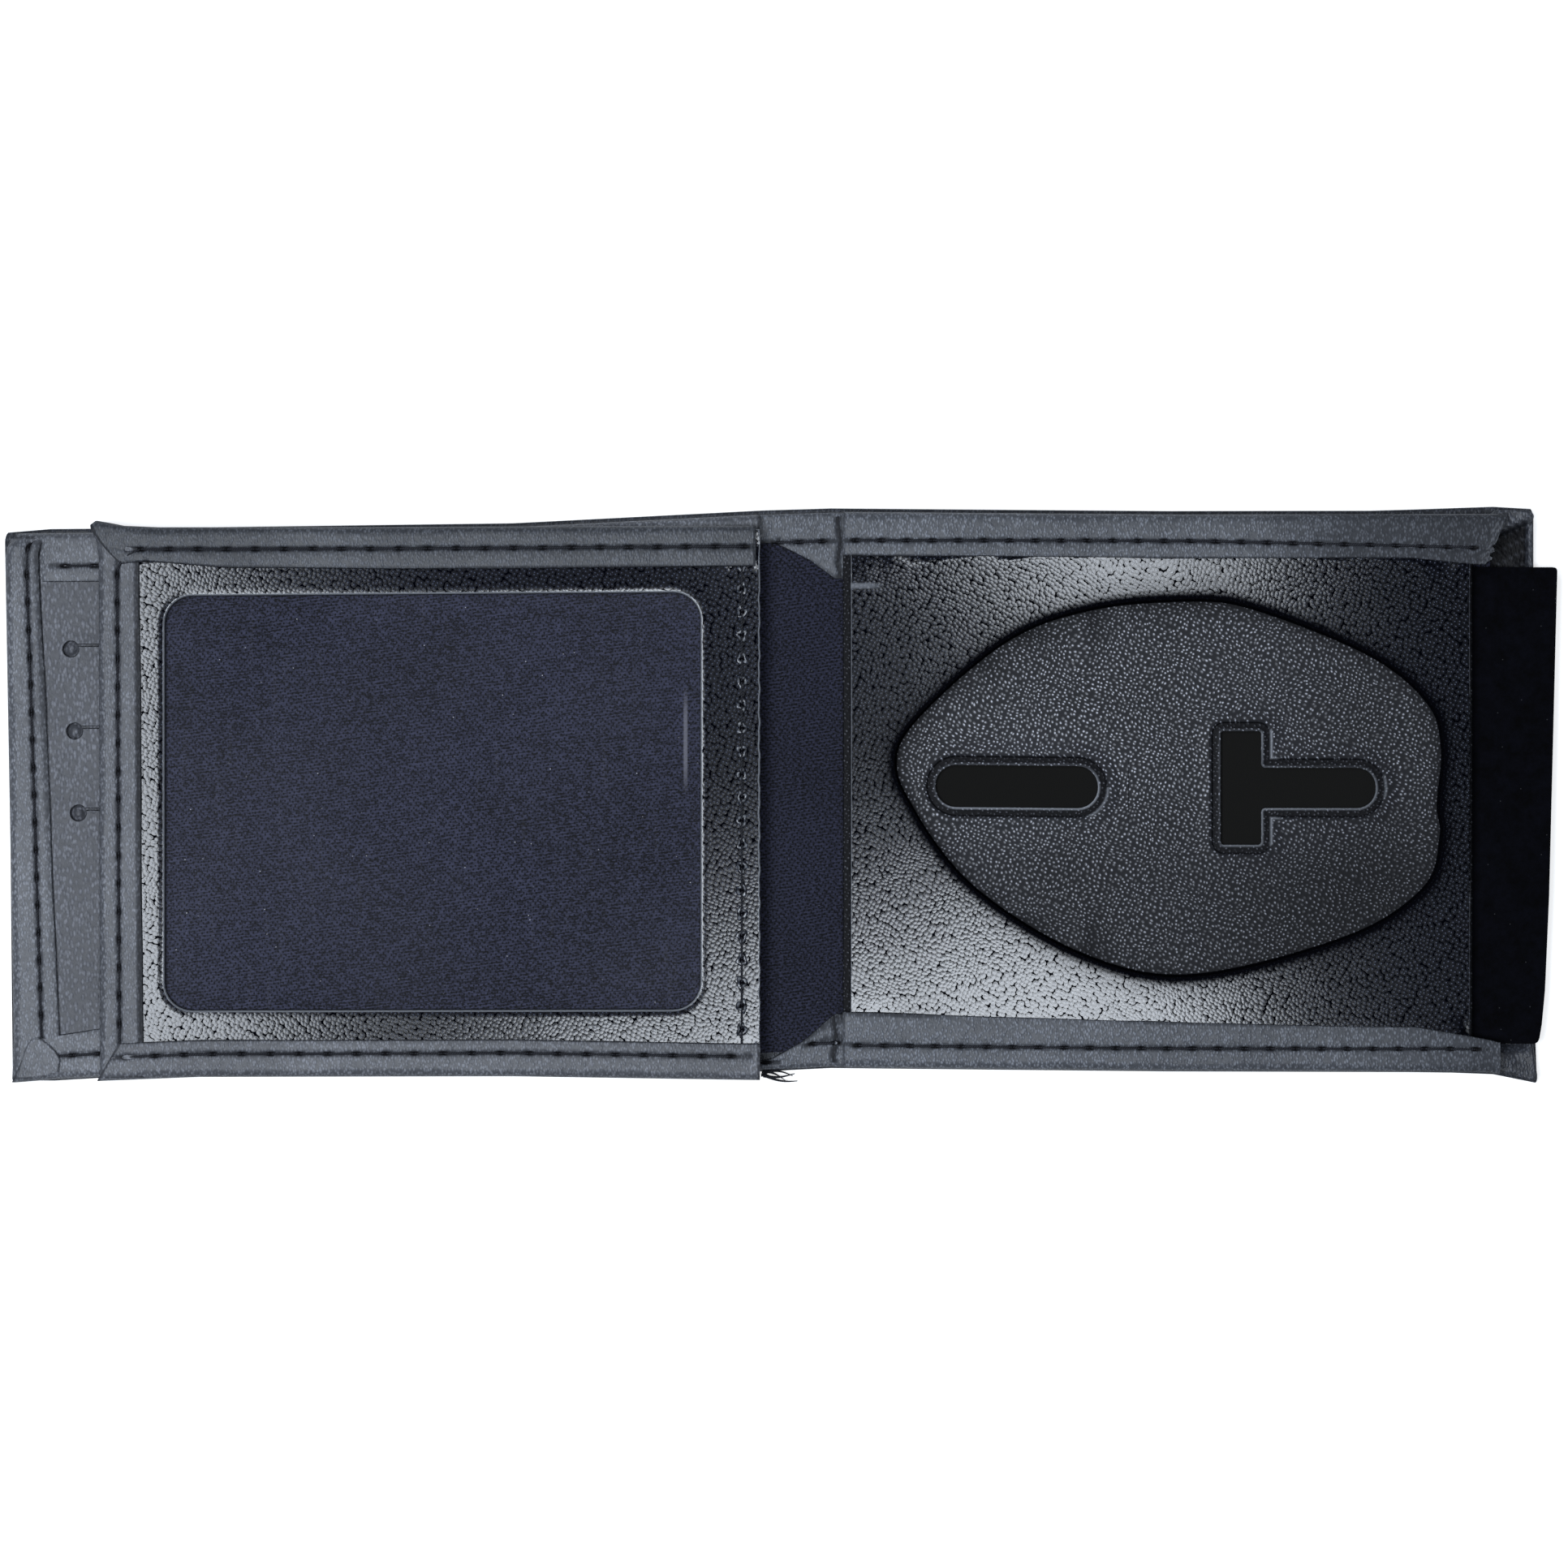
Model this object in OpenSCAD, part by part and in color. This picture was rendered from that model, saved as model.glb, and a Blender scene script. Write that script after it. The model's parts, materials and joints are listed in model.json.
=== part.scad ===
// ID badge wallet, lying open: a bifold cover with a flip-out ID window leaf on the left,
// a cut-out badge panel on the right and a velour-faced pin guard in the badge pocket.
// Millimetres. +X runs from the ID half to the badge half, +Y to the top edge, +Z up from the cover.

/* [Cover] */
// Height of the outer cover
cover_h = 82.6; // [76:0.2:92]
// Width of the ID half, outer edge to its crease
left_w = 111.2; // [108:0.2:116]
// Width of the spine between the two creases
spine_w = 10.7; // [10:0.1:14]
// Width of the badge half, crease to outer edge
right_w = 102.5; // [100.5:0.5:112]
// Thickness of the cover leather
cover_t = 1.0; // [0.8:0.05:1.1]
// Corner radius of the cover
cover_r = 1.6; // [0.8:0.1:3]
// Gap left between leather and crease line
crease_gap = 0.4; // [0.3:0.05:0.5]

/* [Turned bands] */
// Thickness of the turned leather bands
band_t = 0.5; // [0.4:0.05:0.6]
// Outer radius of a turned fold
fold_r = 0.75; // [0.65:0.05:0.85]
// Width of the hidden rear leg of a band
rear_leg_w = 3.6; // [2.5:0.1:4.2]
// Width of the left band at the top
left_band_top_w = 4.7; // [4:0.1:6]
// Width of the left band at the bottom
left_band_low_w = 6.8; // [5:0.1:7.5]
// Width of the top band on the ID half
top_band_w = 6.9; // [5:0.1:8]
// Width of the bottom band on the ID half
low_band_w = 7.2; // [5:0.1:8]
// Width of the badge half's top band at the spine
badge_top_near_w = 6.4; // [5:0.1:8]
// Width of the badge half's top band at the outer end
badge_top_far_w = 7.2; // [5:0.1:8]
// Width of the badge half's bottom band at the spine
badge_low_near_w = 8.1; // [6:0.1:9]
// Width of the badge half's bottom band at the outer end
badge_low_far_w = 6.1; // [5:0.1:8]
// Reach of the bands on the badge half from the crease
badge_band_reach = 96.4; // [95:0.1:98]
// Step from the cover's top edge down to the front bands, which shows the bill pocket's mouth
mouth_step = 0.7; // [0.4:0.1:1.5]
// Step from the cover's other edges to the bands
edge_step = 0.3; // [0.1:0.05:0.5]

/* [Linings] */
// Thickness of the twill lining
lining_t = 0.3; // [0.2:0.05:0.35]
// Gap of the bill pocket between cover and lining
bill_gap = 0.15; // [0.1:0.05:0.2]

/* [Card slots] */
// Thickness of the card slot panel
panel_t = 0.8; // [0.6:0.05:0.9]
// Number of card slots
slot_count = 3; // [2:1:3]
// Distance between the card slots
slot_pitch = 12.1; // [10:0.1:13]
// Height of the first slot above the middle of the cover
slot_first_y = 21.1; // [16:0.1:24]
// Length of each slot between its relief holes
slot_length = 90; // [88:0.5:92]
// Width of each cut
slot_cut = 0.5; // [0.3:0.05:0.8]
// Diameter of the relief holes at the slots' ends
relief_d = 2.3; // [1.5:0.1:3]
// Distance from the cover's left edge to the first relief hole
relief_x = 8.7; // [8.4:0.1:10]
// Shift of each next slot to the right
slot_drift = 0.55; // [0:0.05:0.8]
// Thickness of each card pocket ply
ply_t = 0.2; // [0.15:0.05:0.25]

/* [ID leaf] */
// Width of the flip-out ID leaf
leaf_w = 97.4; // [95:0.2:99]
// How much less high the ID leaf is than the cover
leaf_short = 1.1; // [0:0.1:6]
// How far the leaf's middle lies below the cover's
leaf_drop = 1.2; // [0:0.1:1.5]
// Width of the leaf's left band
leaf_left_w = 5.7; // [4.5:0.1:7]
// Width of the leaf's top band
leaf_top_w = 5.6; // [4.5:0.1:7]
// Width of the leaf's bottom band
leaf_low_w = 5.2; // [4.5:0.1:7]
// Thickness of the leaf's bands
leaf_band_t = 0.4; // [0.3:0.05:0.5]
// Thickness of the window frame leather
frame_t = 0.8; // [0.6:0.05:0.9]
// Width of the window opening
window_w = 78.7; // [70:0.1:80]
// Height of the window opening
window_h = 61.1; // [52:0.1:62]
// Distance from the leaf's left edge to the window
window_left = 9.9; // [8.5:0.1:10.5]
// Distance from the leaf's top edge to the window
window_top = 10; // [9:0.1:11]
// Corner radius of the window
window_r = 4; // [2:0.1:8]
// Thickness of the clear window sheet
vinyl_t = 0.2; // [0.15:0.05:0.25]
// Space for the ID card behind the window sheet
id_gap = 0.25; // [0.15:0.05:0.3]
// Width of the hinge tape's legs
tape_w = 6.5; // [4:0.5:8]
// Thickness of the hinge tape
tape_t = 0.2; // [0.15:0.05:0.2]

/* [Badge carrier] */
// Thickness of the padded badge panel
face_t = 1.5; // [1.2:0.05:1.8]
// Distance from the crease to the badge panel's near edge
face_near = 1.8; // [1.5:0.1:2.5]
// Distance from the crease to the badge panel's far edge
face_far = 93.2; // [91:0.1:94]
// Thickness of the leather under the cut-out
base_t = 0.9; // [0.7:0.05:1]
// Width of the badge cut-out
badge_w = 81.4; // [70:0.2:82]
// Height of the badge cut-out
badge_h = 55; // [46:0.2:58]
// Distance from the crease to the middle of the cut-out
badge_x = 48.4; // [47.5:0.1:49]
// Height of the cut-out's middle over the cover's
badge_y = 0.5; // [-1:0.1:1]
// Height of the formed rims round the slots
rim_h = 0.35; // [0.2:0.05:0.5]
// Width of the formed rims
rim_w = 1.3; // [0.8:0.1:1.6]
// Length of the pin slot
pin_slot_l = 24; // [20:0.2:25]
// Width of the pin slot
pin_slot_w = 6.2; // [5:0.1:7]
// Pin slot's middle, left of the cut-out's middle
pin_slot_x = 22; // [20:0.1:22.5]
// Width of the clip slot's cross bar
clip_bar_w = 6; // [5:0.1:7]
// Length of the clip slot's cross bar
clip_bar_l = 16.7; // [14:0.1:20]
// Width of the clip slot's stem
clip_stem_w = 5.9; // [5:0.1:7]
// Length of the clip slot's stem beyond the bar
clip_stem_l = 16.9; // [12:0.1:18]
// Clip slot's left side, right of the cut-out's middle
clip_x = 8.1; // [7:0.1:10]

/* [Pin guard] */
// Length of the pin guard
guard_l = 94; // [85:0.5:98]
// Distance from the cover's top edge down to the guard
guard_top = 8.4; // [8:0.1:14]
// Distance from the cover's bottom edge up to the guard
guard_low = 3.8; // [3.4:0.1:8]
// How far the guard stands out past the cover
guard_out = 3.3; // [1:0.1:6]
// Thickness of the guard's board
board_t = 0.5; // [0.4:0.05:0.6]
// Thickness of the velour on the guard
velour_t = 0.4; // [0.3:0.05:0.5]
// Corner radius of the guard
guard_r = 0.8; // [0.5:0.1:3]

/* [Hidden] */
$fn = 48;

// Clearance between two stacked layers
layer_gap = 0.05;
// Clearance from a turned fold's inner wall to the layers in it
tuck_gap = 0.3;
// Clearance between two bands that meet at a corner
mitre_gap = 0.1;
// Overrun of every cut
over = 1;
// Largest fold radius as a share of the band's height
thin_fold_share = 0.45;
// Clearance of the ID leaf's raw edge from the crease
leaf_gap = 0.8;
// Clearance under the ID leaf
leaf_lift = 0.15;
// Clearance of the card slot panel and of both halves' bands from the creases
stack_gap = 0.8;
// Distance from the crease to the leather under the cut-out
base_near = 0.75;
// How far the leather under the cut-out reaches past the panel
base_past = 0.4;
// How far the leaf's bands stop short of its raw edge
leaf_band_short = 0.6;
// Width and clearance of the cover's hem at the badge half's outer edge
hem_w = 5.2;
hem_t = 0.5;
hem_gap = 0.5;
// Clearance at each end of the spine's bands
spine_band_gap = 0.5;
// Clearance at each side of the spine's twill
spine_lining_gap = 0.5;
// Widths of the spine's leather at its two creases
spine_top_near_w = 4.2;
spine_top_far_w = 9.6;
spine_low_near_w = 1.4;
spine_low_far_w = 7.6;
// Depth of the lowest card pocket below its slot
pocket_drop = 24;
// Margin of the card pocket plies round a slot
pocket_side = 3;
pocket_lip = 2;
// Overlap of the window sheet round its opening
window_lap = 2.6;
// Curve pieces between two points of the cut-out's outline
curve_steps = 5;

// Heights of the layers that both halves share
z_rear_leg = cover_t + bill_gap;
z_lining = z_rear_leg + band_t + layer_gap;
z_lining_top = z_lining + lining_t;

// Heights of the layers of the ID half
z_ply = z_lining_top + layer_gap;
ply_step = ply_t + layer_gap;
z_panel = z_ply + slot_count * ply_step;
z_panel_top = z_panel + panel_t;
z_left_front = z_panel_top + layer_gap;
z_left_top = z_left_front + band_t;
z_leaf = z_left_top + leaf_lift;
z_backing = z_leaf + leaf_band_t + layer_gap;
z_vinyl = z_backing + lining_t + id_gap;
z_frame = z_vinyl + vinyl_t + layer_gap;
z_frame_top = z_frame + frame_t;
z_leaf_top = z_frame_top + layer_gap + leaf_band_t;
z_tape_top = z_backing - layer_gap;

// Heights of the layers of the badge half
z_board = z_lining_top + layer_gap;
z_velour = z_board + board_t;
z_base = z_velour + velour_t + layer_gap;
z_base_top = z_base + base_t;
z_face = z_base_top + layer_gap;
z_face_top = z_face + face_t;
z_right_top = z_face_top + layer_gap + band_t;

// Places along X, counted from the left edge of the cover
x_crease_left = left_w;
x_crease_right = left_w + spine_w;
x_right = x_crease_right + right_w;
x_guard_end = x_right + guard_out;
x_leaf_end = x_crease_left - leaf_gap;
x_leaf = x_leaf_end - leaf_w;
x_band_end = x_crease_left - stack_gap;
x_badge = x_crease_right + badge_x;

// Places along Y, counted from the middle of the cover
y_cover_top = cover_h / 2;
y_front_top = y_cover_top - mouth_step;
y_front_low = -y_cover_top + edge_step;
leaf_h = cover_h - leaf_short;
y_leaf_top = leaf_h / 2 - leaf_drop;
y_leaf_low = y_leaf_top - leaf_h;
y_layer_top = y_front_top - band_t - tuck_gap;
y_layer_low = y_front_low + band_t + tuck_gap;

// The origin is under the middle of the whole wallet
y_low = min(-y_cover_top, y_leaf_low);
y_high = max(y_cover_top, y_leaf_top);
x_middle = x_guard_end / 2;
y_middle = (y_low + y_high) / 2;

// Outline of the badge cut-out: a shield on its side, point to the left, as shares of its half sizes
outline_shares = [
    [-1, 0.1], [-0.9, 0.365], [-0.58, 0.775], [-0.27, 0.95], [0.09, 1],
    [0.33, 0.95], [0.74, 0.705], [0.95, 0.45], [1, 0.21], [0.985, -0.09],
    [0.995, -0.26], [0.935, -0.53], [0.66, -0.79], [0.1, -1], [-0.3, -0.895],
    [-0.69, -0.55], [-0.92, -0.135]
];

leather = "#3d434e";
smooth_leather = "#5b6270";
twill = "#24283a";
velour = "#101219";
clear = [0.8, 0.85, 0.9, 0.35];

// A point at share u between b and c on a smooth curve through a, b, c and d
function curve_point(a, b, c, d, u) =
    (2 * b + (c - a) * u + (2 * a - 5 * b + 4 * c - d) * u * u
    + (3 * b - a - 3 * c + d) * u * u * u) / 2;

// A closed smooth curve through all points of a list
function closed_curve(points, steps) = [
    for (i = [0 : len(points) - 1])
        for (k = [0 : steps - 1])
            curve_point(
                points[(i + len(points) - 1) % len(points)],
                points[i],
                points[(i + 1) % len(points)],
                points[(i + 2) % len(points)],
                k / steps
            )
];

// Moves everything from the layout's corner to the wallet's own origin
module in_frame() {
    translate([-x_middle, -y_middle, 0]) children();
}

// A flat sheet between two corners, from z up by its thickness
module sheet(x0, y0, x1, y1, z, thickness) {
    in_frame()
        translate([x0, y0, z])
            cube([x1 - x0, y1 - y0, thickness]);
}

// A rectangle with its corners rounded by r
module rounded_rectangle(w, h, r) {
    translate([r, 0]) square([w - 2 * r, h]);
    translate([0, r]) square([w, h - 2 * r]);
    for (x = [r, w - r])
        for (y = [r, h - r])
            translate([x, y]) circle(r);
}

// A strip with its left end rounded as a turned fold
module fold_outline(w, h, r) {
    translate([r, 0]) square([w - r, h]);
    translate([0, r]) square([r, h - 2 * r]);
    translate([r, r]) circle(r);
    translate([r, h - r]) circle(r);
}

// Section of a turned band: rear leg, fold and front leg. A thin band folds more sharply
module fold_section(z_low, z_high, front, rear, thickness) {
    height = z_high - z_low;
    r = min(fold_r, height * thin_fold_share);
    translate([0, z_low]) difference() {
        fold_outline(front, height, r);
        translate([thickness, thickness])
            fold_outline(front + over, height - 2 * thickness, r - thickness);
        translate([rear, -over])
            square([front, height / 2 + over]);
    }
}

// A turned band along X whose fold lies at y and whose legs reach toward side (1 is up, -1 is down),
// trimmed in plan to an outline
module band_along_x(x0, x1, y, side, z_low, z_high, rear, thickness, outline, front) {
    in_frame() intersection() {
        translate([x0, y, 0])
            mirror([0, side < 0 ? 1 : 0, 0])
                rotate([90, 0, 90])
                    linear_extrude(x1 - x0)
                        fold_section(z_low, z_high, front, rear, thickness);
        linear_extrude(z_high + over) polygon(outline);
    }
}

// A turned band along Y whose fold lies at x, trimmed in plan to an outline
module band_along_y(x, y0, y1, z_low, z_high, rear, thickness, outline, front) {
    in_frame() intersection() {
        translate([x, y1, 0])
            rotate([90, 0, 0])
                linear_extrude(y1 - y0)
                    fold_section(z_low, z_high, front, rear, thickness);
        linear_extrude(z_high + over) polygon(outline);
    }
}

module cover_left() {
    color(leather) in_frame() intersection() {
        linear_extrude(cover_t)
            translate([0, -cover_h / 2])
                rounded_rectangle(left_w + 2 * cover_r, cover_h, cover_r);
        translate([0, -cover_h / 2, 0])
            cube([left_w - crease_gap, cover_h, cover_t]);
    }
}

module left_edge_band() {
    color(smooth_leather)
        band_along_y(
            edge_step, y_front_low, y_front_top, z_rear_leg, z_left_top, rear_leg_w, band_t,
            [
                [edge_step, y_front_low + mitre_gap],
                [edge_step, y_front_top - mitre_gap],
                [edge_step + left_band_top_w, y_front_top - top_band_w - mitre_gap],
                [edge_step + left_band_low_w, y_front_low + low_band_w + mitre_gap]
            ],
            max(left_band_top_w, left_band_low_w)
        );
}

module top_band_left() {
    color(smooth_leather)
        band_along_x(
            edge_step, x_band_end, y_front_top, -1, z_rear_leg, z_left_top, rear_leg_w, band_t,
            [
                [edge_step, y_front_top],
                [x_band_end, y_front_top],
                [x_band_end, y_front_top - top_band_w],
                [edge_step + left_band_top_w, y_front_top - top_band_w]
            ],
            top_band_w
        );
}

module bottom_band_left() {
    color(smooth_leather)
        band_along_x(
            edge_step, x_band_end, y_front_low, 1, z_rear_leg, z_left_top, rear_leg_w, band_t,
            [
                [edge_step, y_front_low],
                [x_band_end, y_front_low],
                [x_band_end, y_front_low + low_band_w],
                [edge_step + left_band_low_w, y_front_low + low_band_w]
            ],
            low_band_w
        );
}

module lining_left() {
    color(twill)
        sheet(
            edge_step + band_t + tuck_gap, y_layer_low,
            x_crease_left - spine_lining_gap, y_layer_top, z_lining, lining_t
        );
}

module card_slot_panel() {
    x0 = edge_step + band_t + tuck_gap;
    x1 = x_crease_left - stack_gap;
    color(leather) in_frame() difference() {
        translate([x0, y_layer_low, z_panel])
            cube([x1 - x0, y_layer_top - y_layer_low, panel_t]);
        for (i = [0 : slot_count - 1])
            translate([relief_x + i * slot_drift, slot_first_y - i * slot_pitch, z_panel - over]) {
                translate([0, -slot_cut / 2, 0])
                    cube([slot_length, slot_cut, panel_t + 2 * over]);
                for (x = [0, slot_length])
                    translate([x, 0, 0])
                        cylinder(d = relief_d, h = panel_t + 2 * over);
            }
    }
}

// A pocket ply behind one card slot: it starts just over the slot and ends at a common seam
module card_pocket(i) {
    slot_y = slot_first_y - i * slot_pitch;
    seam_y = slot_first_y - (slot_count - 1) * slot_pitch - pocket_drop;
    x0 = relief_x + i * slot_drift - pocket_side;
    x1 = relief_x + i * slot_drift + slot_length + pocket_side;
    color(twill)
        sheet(x0, seam_y, x1, slot_y + pocket_lip, z_panel - (i + 1) * ply_step, ply_t);
}

module card_pocket_upper() {
    card_pocket(0);
}

module card_pocket_middle() {
    card_pocket(1);
}

module card_pocket_lower() {
    card_pocket(slot_count - 1);
}

// The twill tape that carries the ID leaf: sewn to the panel below, turned back and sewn to the leaf
module flap_hinge_tape() {
    y0 = y_leaf_low + leaf_low_w + low_band_w / 2;
    y1 = y_leaf_top - leaf_top_w - top_band_w / 2;
    z_low = z_panel_top + layer_gap;
    height = z_tape_top - z_low;
    r = height / 2;
    color(twill) in_frame()
        translate([x_leaf_end, y1, z_low])
            mirror([1, 0, 0]) rotate([90, 0, 0])
                linear_extrude(y1 - y0) difference() {
                    union() {
                        translate([r, 0]) square([tape_w - r, height]);
                        translate([r, r]) circle(r);
                    }
                    translate([r, tape_t]) square([tape_w, height - 2 * tape_t]);
                    translate([r, r]) circle(r - tape_t);
                }
}

module cover_spine() {
    color(leather)
        sheet(
            x_crease_left + crease_gap, -cover_h / 2,
            x_crease_right - crease_gap, cover_h / 2, 0, cover_t
        );
}

module lining_spine() {
    color(twill)
        sheet(
            x_crease_left + spine_lining_gap, y_layer_low,
            x_crease_right - spine_lining_gap, y_layer_top, z_lining, lining_t
        );
}

// A leather band that crosses the spine and widens toward the badge half
module spine_band(y, side, near_w, far_w) {
    x0 = x_crease_left + spine_band_gap;
    x1 = x_crease_right - spine_band_gap;
    color(smooth_leather)
        band_along_x(
            x0, x1, y, side, z_rear_leg, z_lining_top + layer_gap + band_t, rear_leg_w, band_t,
            [
                [x0, y],
                [x0, y + side * near_w],
                [x1, y + side * far_w],
                [x1, y]
            ],
            max(near_w, far_w)
        );
}

module top_band_spine() {
    spine_band(y_front_top, -1, spine_top_near_w, spine_top_far_w);
}

module bottom_band_spine() {
    spine_band(y_front_low, 1, spine_low_near_w, spine_low_far_w);
}

module flap_window_frame() {
    x0 = x_leaf + leaf_band_t + tuck_gap;
    y0 = y_leaf_low + leaf_band_t + tuck_gap;
    y1 = y_leaf_top - leaf_band_t - tuck_gap;
    color(leather) in_frame() difference() {
        translate([x0, y0, z_frame])
            cube([x_leaf_end - x0, y1 - y0, frame_t]);
        translate([x_leaf + window_left, y_leaf_top - window_top - window_h, z_frame - over])
            linear_extrude(frame_t + 2 * over)
                rounded_rectangle(window_w, window_h, window_r);
    }
}

module flap_clear_window() {
    color(clear)
        sheet(
            x_leaf + window_left - window_lap,
            y_leaf_top - window_top - window_h - window_lap,
            x_leaf + window_left + window_w + window_lap,
            y_leaf_top - window_top + window_lap, z_vinyl, vinyl_t
        );
}

module flap_backing() {
    color(twill)
        sheet(
            x_leaf + leaf_band_t + tuck_gap, y_leaf_low + leaf_band_t + tuck_gap,
            x_leaf_end, y_leaf_top - leaf_band_t - tuck_gap, z_backing, lining_t
        );
}

module flap_band_left() {
    color(smooth_leather)
        band_along_y(
            x_leaf, y_leaf_low, y_leaf_top, z_leaf, z_leaf_top, rear_leg_w, leaf_band_t,
            [
                [x_leaf, y_leaf_low + mitre_gap],
                [x_leaf, y_leaf_top - mitre_gap],
                [x_leaf + leaf_left_w, y_leaf_top - leaf_top_w - mitre_gap],
                [x_leaf + leaf_left_w, y_leaf_low + leaf_low_w + mitre_gap]
            ],
            leaf_left_w
        );
}

// A band on the leaf's top or bottom edge, which stops short of its raw edge
module leaf_band(y, side, w) {
    x1 = x_leaf_end - leaf_band_short;
    color(smooth_leather)
        band_along_x(
            x_leaf, x1, y, side, z_leaf, z_leaf_top, rear_leg_w, leaf_band_t,
            [
                [x_leaf, y],
                [x_leaf + leaf_left_w, y + side * w],
                [x1, y + side * w],
                [x1, y]
            ],
            w
        );
}

module flap_band_top() {
    leaf_band(y_leaf_top, -1, leaf_top_w);
}

module flap_band_bottom() {
    leaf_band(y_leaf_low, 1, leaf_low_w);
}

module cover_right() {
    x0 = x_crease_right + crease_gap;
    color(leather) in_frame() intersection() {
        linear_extrude(cover_t)
            translate([x0 - 2 * cover_r, -cover_h / 2])
                rounded_rectangle(x_right - x0 + 2 * cover_r, cover_h, cover_r);
        translate([x0, -cover_h / 2, 0])
            cube([x_right - x0, cover_h, cover_t]);
    }
}

// The cover's outer edge turned in on itself, under the guard
module right_edge_hem() {
    color(smooth_leather)
        sheet(
            x_right - edge_step - hem_w, y_front_low + edge_step,
            x_right - edge_step, y_front_top, cover_t + layer_gap, hem_t
        );
}

module lining_right() {
    color(twill)
        sheet(
            x_crease_right + spine_lining_gap, y_layer_low,
            x_right - edge_step - hem_w - hem_gap, y_layer_top, z_lining, lining_t
        );
}

// A band on the badge half, with its own width at each end
module badge_band(y, side, near_w, far_w) {
    x0 = x_crease_right + stack_gap;
    x1 = x_crease_right + badge_band_reach;
    color(smooth_leather)
        band_along_x(
            x0, x1, y, side, z_rear_leg, z_right_top, rear_leg_w, band_t,
            [
                [x0, y],
                [x0, y + side * near_w],
                [x1, y + side * far_w],
                [x1, y]
            ],
            max(near_w, far_w)
        );
}

module top_band_right() {
    badge_band(y_front_top, -1, badge_top_near_w, badge_top_far_w);
}

module bottom_band_right() {
    badge_band(y_front_low, 1, badge_low_near_w, badge_low_far_w);
}

// Plan of the pin slot, grown outward by a margin
module pin_slot_plan(grow) {
    half = (pin_slot_l - pin_slot_w) / 2;
    translate([-pin_slot_x, 0]) {
        translate([-half, -pin_slot_w / 2 - grow])
            square([2 * half, pin_slot_w + 2 * grow]);
        for (x = [-half, half])
            translate([x, 0]) circle(pin_slot_w / 2 + grow);
    }
}

// Plan of the clip slot, a cross bar with a round-ended stem, grown outward by a margin
module clip_slot_plan(grow) {
    translate([clip_x - grow, -clip_bar_l / 2 - grow])
        square([clip_bar_w + 2 * grow, clip_bar_l + 2 * grow]);
    translate([clip_x + clip_bar_w, -clip_stem_w / 2 - grow])
        square([clip_stem_l - clip_stem_w / 2, clip_stem_w + 2 * grow]);
    translate([clip_x + clip_bar_w + clip_stem_l - clip_stem_w / 2, 0])
        circle(clip_stem_w / 2 + grow);
}

module badge_base() {
    x0 = x_crease_right + base_near;
    x1 = x_crease_right + face_far + base_past;
    color(leather) in_frame() difference() {
        union() {
            translate([x0, y_layer_low, z_base])
                cube([x1 - x0, y_layer_top - y_layer_low, base_t]);
            translate([x_badge, badge_y, z_base]) linear_extrude(base_t + rim_h) {
                pin_slot_plan(rim_w);
                clip_slot_plan(rim_w);
            }
        }
        translate([x_badge, badge_y, z_base - over]) linear_extrude(base_t + rim_h + 2 * over) {
            pin_slot_plan(0);
            clip_slot_plan(0);
        }
    }
}

module badge_face_panel() {
    x0 = x_crease_right + face_near;
    outline = [for (p = outline_shares) [p[0] * badge_w / 2, p[1] * badge_h / 2]];
    color(leather) in_frame() difference() {
        translate([x0, y_layer_low, z_face])
            cube([x_crease_right + face_far - x0, y_layer_top - y_layer_low, face_t]);
        translate([x_badge, badge_y, z_face - over])
            linear_extrude(face_t + 2 * over)
                polygon(closed_curve(outline, curve_steps));
    }
}

// One layer of the guard
module guard_layer(z, thickness) {
    in_frame()
        translate([x_guard_end - guard_l, guard_low - y_cover_top, z])
            linear_extrude(thickness)
                rounded_rectangle(guard_l, cover_h - guard_top - guard_low, guard_r);
}

module pin_guard_board() {
    color(velour) guard_layer(z_board, board_t);
}

module pin_guard_velour() {
    color(velour) guard_layer(z_velour, velour_t);
}

cover_left();
left_edge_band();
top_band_left();
bottom_band_left();
lining_left();
card_slot_panel();
card_pocket_upper();
card_pocket_middle();
card_pocket_lower();
flap_hinge_tape();
cover_spine();
lining_spine();
top_band_spine();
bottom_band_spine();
flap_window_frame();
flap_clear_window();
flap_backing();
flap_band_left();
flap_band_top();
flap_band_bottom();
cover_right();
right_edge_hem();
lining_right();
top_band_right();
bottom_band_right();
badge_base();
badge_face_panel();
pin_guard_board();
pin_guard_velour();
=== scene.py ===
"""The looks of the id badge wallet: each visible piece of leather, cloth and vinyl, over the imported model."""
import json
import math

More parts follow.
